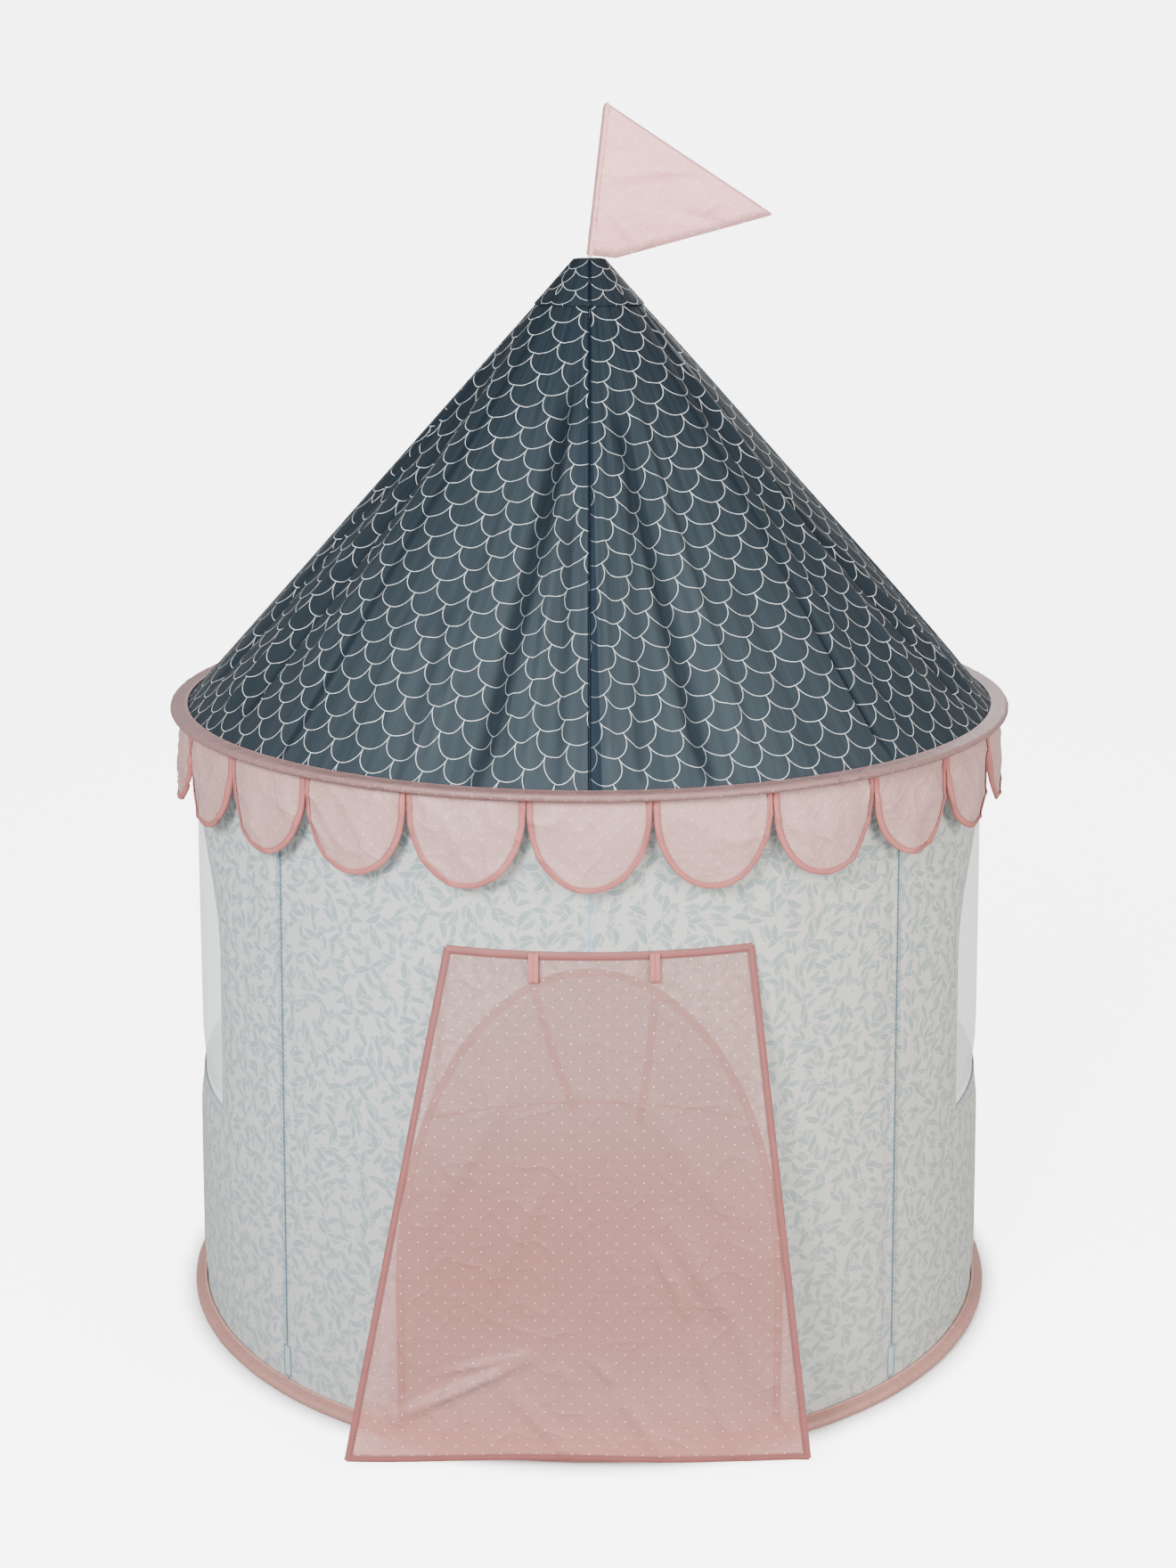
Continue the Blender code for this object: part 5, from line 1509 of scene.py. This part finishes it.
for number, (angle, (quarter, start)) in enumerate(zip(CORNERS, QUARTERS), start=1):
    wall, roof = f"wall_cloth_{quarter}", f"roof_gore_{quarter}"
    foot = polar(wall_radius(POLE_FOOT) - POLE_INSET, angle, POLE_FOOT)
    rise = roof_line(angle, EAVES_SHARE) - foot
    length = rise.length
    rise.normalize()
    straight = [foot + rise * (CHANNEL_START + (length - CHANNEL_SHORT) * k / 90)
                for k in range(91)]
    pocket = [foot + rise * (POCKET_START + POCKET_LENGTH * k / 14) for k in range(15)]
    sloping = [roof_line(angle, ROOF_CHANNEL_START + ROOF_CHANNEL_SHARE * k / 90)
               for k in range(91)]
    soft_tube(f"wall_channel_{number}", f"wall_pole_sleeve_{number}", straight, CHANNEL_RADIUS,
              wall)
    soft_tube(f"foot_pocket_cloth_{number}", f"foot_pocket_{number}", pocket, POCKET_RADIUS, wall,
              thickness=0.0005, wobble=0.02)
    soft_tube(f"roof_channel_{number}", f"roof_pole_sleeve_{number}", sloping, CHANNEL_RADIUS,
              roof)

# %% [markdown]
# ## The flap
# The flap is one trapezium of thin pink cloth, bound on four sides and sewn to the wall by its top
# edge. It hangs almost flat and shows the doorway's edge and the two ribbons through it, so its
# cloth lets some light through. A cloth simulation could fold it, but wouldn't put the creases
# where such a flap keeps them from its packing, so they are drawn. Its top bends at its seam.

# %% Drawn creases of the flap
FLAP_CLOTH = 0.0008
FLAP_TOP = 0.603
FLAP_HEIGHT = 0.587
FLAP_CORNERS = ((-0.157, 0.179), (-0.275, 0.249))
FLAP_TOP_RADIUS = wall_radius(FLAP_TOP) + 0.00285
FLAP_FOOT = 0.5415
FLAP_CREASES = (
    ((-0.225, 0.538), (-0.060, 0.462), 0.007, 0.0062),
    ((-0.180, 0.486), (-0.062, 0.458), 0.004, 0.0030),
    ((-0.036, 0.470), (-0.020, 0.500), 0.004, 0.0032),
    ((0.006, 0.462), (0.026, 0.498), 0.004, 0.0034),
    ((-0.120, 0.470), (-0.020, 0.585), 0.009, 0.0026),
    ((0.030, 0.500), (0.085, 0.586), 0.008, 0.0030),
    ((0.070, 0.330), (0.112, 0.420), 0.007, 0.0034),
    ((0.082, 0.290), (0.150, 0.420), 0.012, 0.0036),
    ((0.120, 0.430), (0.165, 0.586), 0.010, 0.0034),
    ((0.130, 0.360), (0.205, 0.520), 0.009, 0.0030),
    ((0.200, 0.470), (0.235, 0.580), 0.008, 0.0026),
    ((-0.180, 0.300), (-0.215, 0.520), 0.014, 0.0026),
    ((-0.080, 0.140), (-0.190, 0.330), 0.012, 0.0028),
    ((-0.030, 0.230), (-0.120, 0.400), 0.010, 0.0020),
    ((0.030, 0.120), (0.150, 0.300), 0.014, 0.0026),
    ((-0.020, 0.020), (0.020, 0.560), 0.012, 0.0012),
)


print("flap creases:", len(FLAP_CREASES))


# %% Flap surface
def crease(x, y, start, end, width, height):
    """A pinched fold along a line on the flat cloth, highest in its middle."""
    run = Vector(end) - Vector(start)
    along = (Vector((x, y)) - Vector(start)).dot(run) / run.length_squared
    if not 0.0 < along < 1.0:
        return 0.0
    beside = abs((x - start[0]) * run.y - (y - start[1]) * run.x) / run.length
    return height * math.exp(-(beside / width) ** 2) * math.sin(math.pi * along) ** 0.7


def flap_side(fall):
    """Left and right edge of the flap at a distance down from its top."""
    down = fall / FLAP_HEIGHT
    (top_left, top_right), (foot_left, foot_right) = FLAP_CORNERS
    return top_left + (foot_left - top_left) * down, top_right + (foot_right - top_right) * down


def flap_surface(across, fall, lift=0.0):
    """A place on the flap's front by its distance across and its distance down."""
    down = fall / FLAP_HEIGHT
    left, right = flap_side(fall)
    share = (across - left) / (right - left)
    top_x = FLAP_CORNERS[0][0] + (FLAP_CORNERS[0][1] - FLAP_CORNERS[0][0]) * share
    top_y = -math.sqrt(FLAP_TOP_RADIUS ** 2 - top_x ** 2)
    y = top_y + (-FLAP_FOOT - top_y) * down
    fold = 0.0022 * down ** 2 * math.sin(2 * math.pi * (1.6 * share + 0.15))
    free = smooth(0.02, 0.16, down)
    folds = 0.0024 * free * (1.0 + soft(across * 5.5 + down * 0.8, fall * 1.4, 12.0))
    folds += 0.0007 * free * soft(across * 24.0, fall * 9.0, 14.0)
    for start, end, width, height in FLAP_CREASES:
        folds += 1.4 * crease(across, fall, start, end, width, height)
    return Vector((across, y - fold - folds - lift, FLAP_TOP - fall))


print("the flap's foot stands", round(-flap_surface(0.0, FLAP_HEIGHT).y, 4), "from the axis")


# %% Flap cloth
FLAP_ROWS = 140
FLAP_COLUMNS = 120
FLAP_RAW_EDGE = 0.0006
FLAP_FOOT_WIDTH = 0.524
FLAP_TOP_WIDTH = 0.336


def on_flap(i, j):
    """A point of the flap; its raw edge ends inside the binding."""
    fall = FLAP_RAW_EDGE + (FLAP_HEIGHT - 2 * FLAP_RAW_EDGE) * (1.0 - i / FLAP_ROWS)
    left, right = flap_side(fall)
    across = left + FLAP_RAW_EDGE + (right - left - 2 * FLAP_RAW_EDGE) * j / FLAP_COLUMNS
    return flap_surface(across, fall), {"UVMap": (across, fall)}


flap = grid_sheet("door_flap_cloth", (FLAP_ROWS, FLAP_COLUMNS), on_flap, FLAP,
                  thickness=FLAP_CLOTH)

(top_left, top_right), (foot_left, foot_right) = FLAP_CORNERS
corners = [Vector(corner) for corner in ((top_left, 0.0), (foot_left, FLAP_HEIGHT),
                                         (foot_right, FLAP_HEIGHT), (top_right, 0.0))]
sides = []
for k, label in enumerate(("left", "foot", "right", "top")):
    first, second = corners[k], corners[(k + 1) % 4]
    inset = (second - first).normalized() * 0.0012
    line = spread_evenly([tuple(first + inset), tuple(second - inset)], 0.005)[::-1]
    sides.append(edge_tape(f"flap_tape_{label}", line, flap_surface, 0.0064 + 0.0002 * k,
                           FLAP_TAPE, back=FLAP_CLOTH))
flap_tape = join_pieces(sides, "flap_tape")
for piece in (flap, flap_tape):
    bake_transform(piece)
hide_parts("door_flap")
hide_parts("flap_binding")
tape_length = FLAP_FOOT_WIDTH + FLAP_TOP_WIDTH + 2 * FLAP_HEIGHT * 1.01

# %% [markdown]
# ## Loops and ribbons
# The rolled flap is held by two short tape loops at its top and two long ribbons behind it. A plain
# strip would do for both, but a loop is tape doubled back on itself, so its section is drawn as one
# line that turns round at the foot, and a ribbon leans and curls a little as it hangs.

# %% Tape loops
TIE_COLUMNS = 8
LOOP_DROP = 0.033
LOOP_HALF = 0.0056
LOOP_STEP = 0.0016
LOOP_SECTION = ((0.0029, 0.0004), (0.0032, 0.010), (0.0034, 0.022), (0.0032, 0.0305),
                (0.0026, 0.0324), (0.0016, 0.0329), (0.0006, 0.0324), (0.0001, 0.0305),
                (0.0001, 0.020), (0.0001, 0.0004))
loop_line = spread_evenly(LOOP_SECTION, LOOP_STEP)

for label, x in (("left", -0.060), ("right", 0.070)):
    top = flap_surface(x, 0.0)
    foot = flap_surface(x, LOOP_DROP)
    out = Vector((top.x, top.y, 0.0)).normalized()
    side = Vector((-out.y, out.x, 0.0))
    fall = (out * (foot - top).dot(out) + Vector((0.0, 0.0, foot.z - top.z))).normalized()
    out = fall.cross(side).normalized()
    if out.dot(top) < 0.0:
        out.negate()
    pivot = top + out * 0.00085

    def on_loop(k, j):
        """A point of the loop: out from the flap and back along its doubled tape, and across."""
        depth, down = loop_line[k]
        width = LOOP_HALF * (1.0 - 0.06 * math.sin(math.pi * down / LOOP_DROP))
        across = width * (2.0 * j / TIE_COLUMNS - 1.0)
        if depth > 0.001:
            depth += 0.0003 * soft(down * 110.0, across * 200.0, x * 9.0) * smooth(0.0, 0.004, down)
        return pivot + side * across + out * depth + fall * down, {"UVMap": (k * LOOP_STEP, across)}

    strap = grid_sheet(f"tie_loop_tape_{label}", (len(loop_line) - 1, TIE_COLUMNS), on_loop, TAPE,
                       thickness=0.0006)
    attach(strap, f"tie_loop_{label}")
    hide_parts(f"tie_loop_{label}")

# %% Ribbons
RIBBON_HALF = 0.0045
RIBBON_DEPTH = 0.00315
RIBBON_ROWS = 60

for label, x, length, lean in (("left", -0.060, 0.152, 0.044), ("right", 0.072, 0.158, -0.0165)):
    arch_rise = (DOOR["top"] - DOOR["spring"]) * math.sqrt(1.0 - (x / DOOR["half"]) ** 2)
    height = DOOR["spring"] + arch_rise - RIBBON_HALF
    radius = wall_radius(height) - RIBBON_DEPTH
    start = Vector((x, -math.sqrt(radius ** 2 - x ** 2), height))
    drop = Vector((0.0, 0.0, -math.sqrt(length ** 2 - lean ** 2)))
    inward = Vector((-start.x, -start.y, 0.0)).normalized()
    side = Vector((inward.y, -inward.x, 0.0))

    def on_ribbon(k, j):
        """A point of the ribbon, which leans to one side and curls a little as it hangs."""
        down = k / RIBBON_ROWS
        middle = start + side * (lean * down ** 1.3) + drop * down
        run = (side * (1.3 * lean * down ** 0.3) + drop).normalized()
        wide = run.cross(inward).normalized()
        if wide.dot(side) < 0.0:
            wide.negate()
        across = RIBBON_HALF * (2.0 * j / TIE_COLUMNS - 1.0)
        free = smooth(0.05, 0.3, down)
        curl = 0.0006 * smooth(0.02, 0.2, down) * (across / RIBBON_HALF) ** 2
        twist = abs(0.10 * math.sin(down * 5.0) * across * free)
        depth = 0.0001 + curl + twist + 0.0006 * free
        return middle + wide * across + inward * depth, {"UVMap": (length * down, across)}

    ribbon = grid_sheet(f"tie_ribbon_tape_{label}", (RIBBON_ROWS, TIE_COLUMNS), on_ribbon, SHADED_TIE,
                        thickness=0.0006)
    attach(ribbon, f"tie_ribbon_{label}")
    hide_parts(f"tie_ribbon_{label}")

# %% [markdown]
# ## The pennant
# A three-cornered flag of doubled pink cloth, stitched along its edges, with a sleeve along its
# hoist that slips over the mast. Doubled and stitched cloth stays nearly flat, so a cloth
# simulation would only add noise: its shallow dents and its few creases are drawn instead.

# %% Pennant and sleeve, point by point
MAST_LEAN = math.radians(6.6)
MAST_RISE = Vector((math.sin(MAST_LEAN), 0.0, math.cos(MAST_LEAN)))
FLAG_FLY = Vector((math.cos(MAST_LEAN), 0.0, -math.sin(MAST_LEAN)))
HUB_TOP = Vector((0.0, 0.0, 1.3165))
FLAG_START = 0.0067
FLAG_FOOT = HUB_TOP + MAST_RISE * FLAG_START
HOIST = 0.178
FLY = 0.215
PENNANT_ROWS = 60
PENNANT_COLUMNS = 72
SLEEVE_ROWS = 44
SLEEVE_SIDES = 24
SLEEVE_RADIUS = 0.0037
FLAG_CREASES = (
    ((0.004, 0.092), (0.150, 0.128), 0.0090, 0.0040),
    ((0.004, 0.118), (0.080, 0.140), 0.0060, -0.0022),
    ((0.010, 0.060), (0.060, 0.012), 0.0050, 0.0024),
    ((0.070, 0.070), (0.165, 0.052), 0.0080, -0.0024),
    ((0.130, 0.062), (0.150, 0.084), 0.0030, 0.0022),
)


def flag_edges(out):
    """Lower and upper edge of the pennant at a share of the way out."""
    tip = HOIST * 0.41
    lower = tip * max(0.0, (out - 0.145) / 0.855)
    return lower, HOIST + (tip - HOIST) * out


def on_pennant(i, j):
    """A point of the pennant, with the dents and creases that lie between its stitched edges."""
    out = 0.0165 + 0.970 * j / PENNANT_COLUMNS
    lower, upper = flag_edges(out)
    rise = lower + (upper - lower) * i / PENNANT_ROWS
    inside = min(min(rise - lower, upper - rise) * 0.86, (1.0 - out) * FLY)
    aside = 0.006 * out * math.sin(2 * math.pi * out) - 0.0042 * smooth(0.0, 0.034, inside)
    aside += 0.0026 * smooth(0.008, 0.03, inside) * soft(out * 3.1, rise * 16.0, 21.0)
    aside += 0.0012 * smooth(0.0, 0.02, inside) * soft(out * 9.0, rise * 48.0, 22.0)
    for first, last, width, height in FLAG_CREASES:
        aside -= crease(FLY * out, rise, first, last, width, height) * smooth(0.0, 0.012, inside)
    point = FLAG_FOOT + FLAG_FLY * (FLY * out) + MAST_RISE * rise
    from_hem = min(rise - lower, 3.5 * (upper - rise))
    return (point + Vector((0.0, aside - 0.0009, 0.0)),
            {"UVMap": (FLY * out, rise), "Edges": (from_hem, FLY * out)})


def on_sleeve(k, j):
    """A point of the sleeve round the mast, which narrows to a point at its top."""
    rise = HOIST * (1.0 - k / SLEEVE_ROWS)
    turn = 2 * math.pi * j / SLEEVE_SIDES
    size = SLEEVE_RADIUS + 0.00035 * soft(rise * 60.0 + math.cos(turn), math.sin(turn), 30.0)
    size *= (0.35, 0.92)[k] if k < 2 else 1.0
    spoke = FLAG_FLY * (math.cos(turn) * (1.08 if math.cos(turn) > 0 else 1.0))
    spoke += Vector((0.0, 1.0, 0.0)) * math.sin(turn)
    outer = 0.009 * (1.0 + math.cos(turn))
    return (FLAG_FOOT + MAST_RISE * rise + spoke * size,
            {"UVMap": (turn * size, rise), "Edges": (outer, 0.0)})


print("pennant:", HOIST, "along the mast and", FLY, "out from it")


# %% Pennant
pennant = grid_sheet("pennant_cloth", (PENNANT_ROWS, PENNANT_COLUMNS), on_pennant, PENNANT,
                     thickness=0.0018)
hoist = grid_sheet("pennant_sleeve", (SLEEVE_ROWS, SLEEVE_SIDES), on_sleeve, PENNANT,
                   thickness=0.0007, ring=True)
for piece in (pennant, hoist):
    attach(piece, "flag")
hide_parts("flag")

# %% [markdown]
# ## Rods, sockets and hoops
# The rigid parts keep the shape that the frame gives them. They could be drawn again with rounder
# edges, but they are turned or moulded to true size already, and most of them are hidden. Only
# their finish changes: glass fibre with a faint grain, moulded plastic and bright steel wire.

# %% Finishes of the rigid parts
FINISHES = {"rod": ROD, "hoop_wire": WIRE, "socket_plastic": SOCKET, "foot_plastic": FOOT}
for part in frame["record"]["subparts"]:
    node = frame["nodes"][part["node"]]
    if part["material_slot"] in FINISHES:
        node.data.materials.clear()
        node.data.materials.append(FINISHES[part["material_slot"]])
        print(part["node"], "->", part["material_slot"])

# %% [markdown]
# ## Floor and backdrop
# The studio is one pale sweep of paper that runs up behind the tent. It could be lit from all
# around until it is white, but that much light would wash out the cloth. So the paper gives off
# light of its own that only the camera sees, and it darkens under the tent, where no light gets in.

# %% Floor and backdrop
FLOOR_SIZE = 30.0
FLOOR_PLACE = (0.0, -11.0, -0.0002)
SWEEP_STEPS = 9
SWEEP_STEP = 0.35
SWEEP_TOP = 6.0

bpy.ops.object.select_all(action="DESELECT")
bpy.ops.mesh.primitive_plane_add(size=FLOOR_SIZE, location=FLOOR_PLACE)
floor = bpy.context.object
floor.name = "floor"
floor.data.name = "floor"
bpy.ops.object.mode_set(mode="EDIT")
bpy.ops.mesh.select_all(action="DESELECT")
bpy.ops.mesh.select_mode(type="EDGE")
bpy.ops.object.mode_set(mode="OBJECT")
for edge in floor.data.edges:
    edge.select = all(floor.data.vertices[v].co.y > 0.0 for v in edge.vertices)
bpy.ops.object.mode_set(mode="EDIT")
for step in range(SWEEP_STEPS):
    turn = math.radians(90.0 * (step + 0.5) / SWEEP_STEPS)
    move = (0.0, SWEEP_STEP * math.cos(turn), SWEEP_STEP * math.sin(turn))
    bpy.ops.mesh.extrude_edges_move(TRANSFORM_OT_translate={"value": move})
bpy.ops.mesh.extrude_edges_move(TRANSFORM_OT_translate={"value": (0.0, 0.0, SWEEP_TOP)})
bpy.ops.object.mode_set(mode="OBJECT")
bpy.ops.object.transform_apply(location=True, rotation=True, scale=True)
bpy.ops.object.shade_smooth()

pale = Nodes("pale_floor")
cloud = pale.noise(pale.place(), 1.5, 2.0)
tone = pale.mix(cloud, (0.86, 0.86, 0.86), (0.89, 0.89, 0.89))
from_middle = pale.add("ShaderNodeVectorMath", {"operation": "LENGTH"}, (pale.place(),), 1)
# Painted shade: the floor's tone and glow are dark under the tent.
tone = pale.mix(from_middle.ease(0.16, 0.53), (0.36, 0.33, 0.32), tone)
glow = pale.mix(from_middle.ease(0.522, 0.560), (0.02, 0.02, 0.02), (4.8, 4.8, 4.8))
pale.set("Emission Strength", 1.0)
floor.data.materials.append(pale.finish(Base_Color=tone, Roughness=0.9, Emission_Color=glow))
floor.visible_diffuse = False
floor.visible_glossy = False
print("backdrop faces:", len(floor.data.polygons))

# %% [markdown]
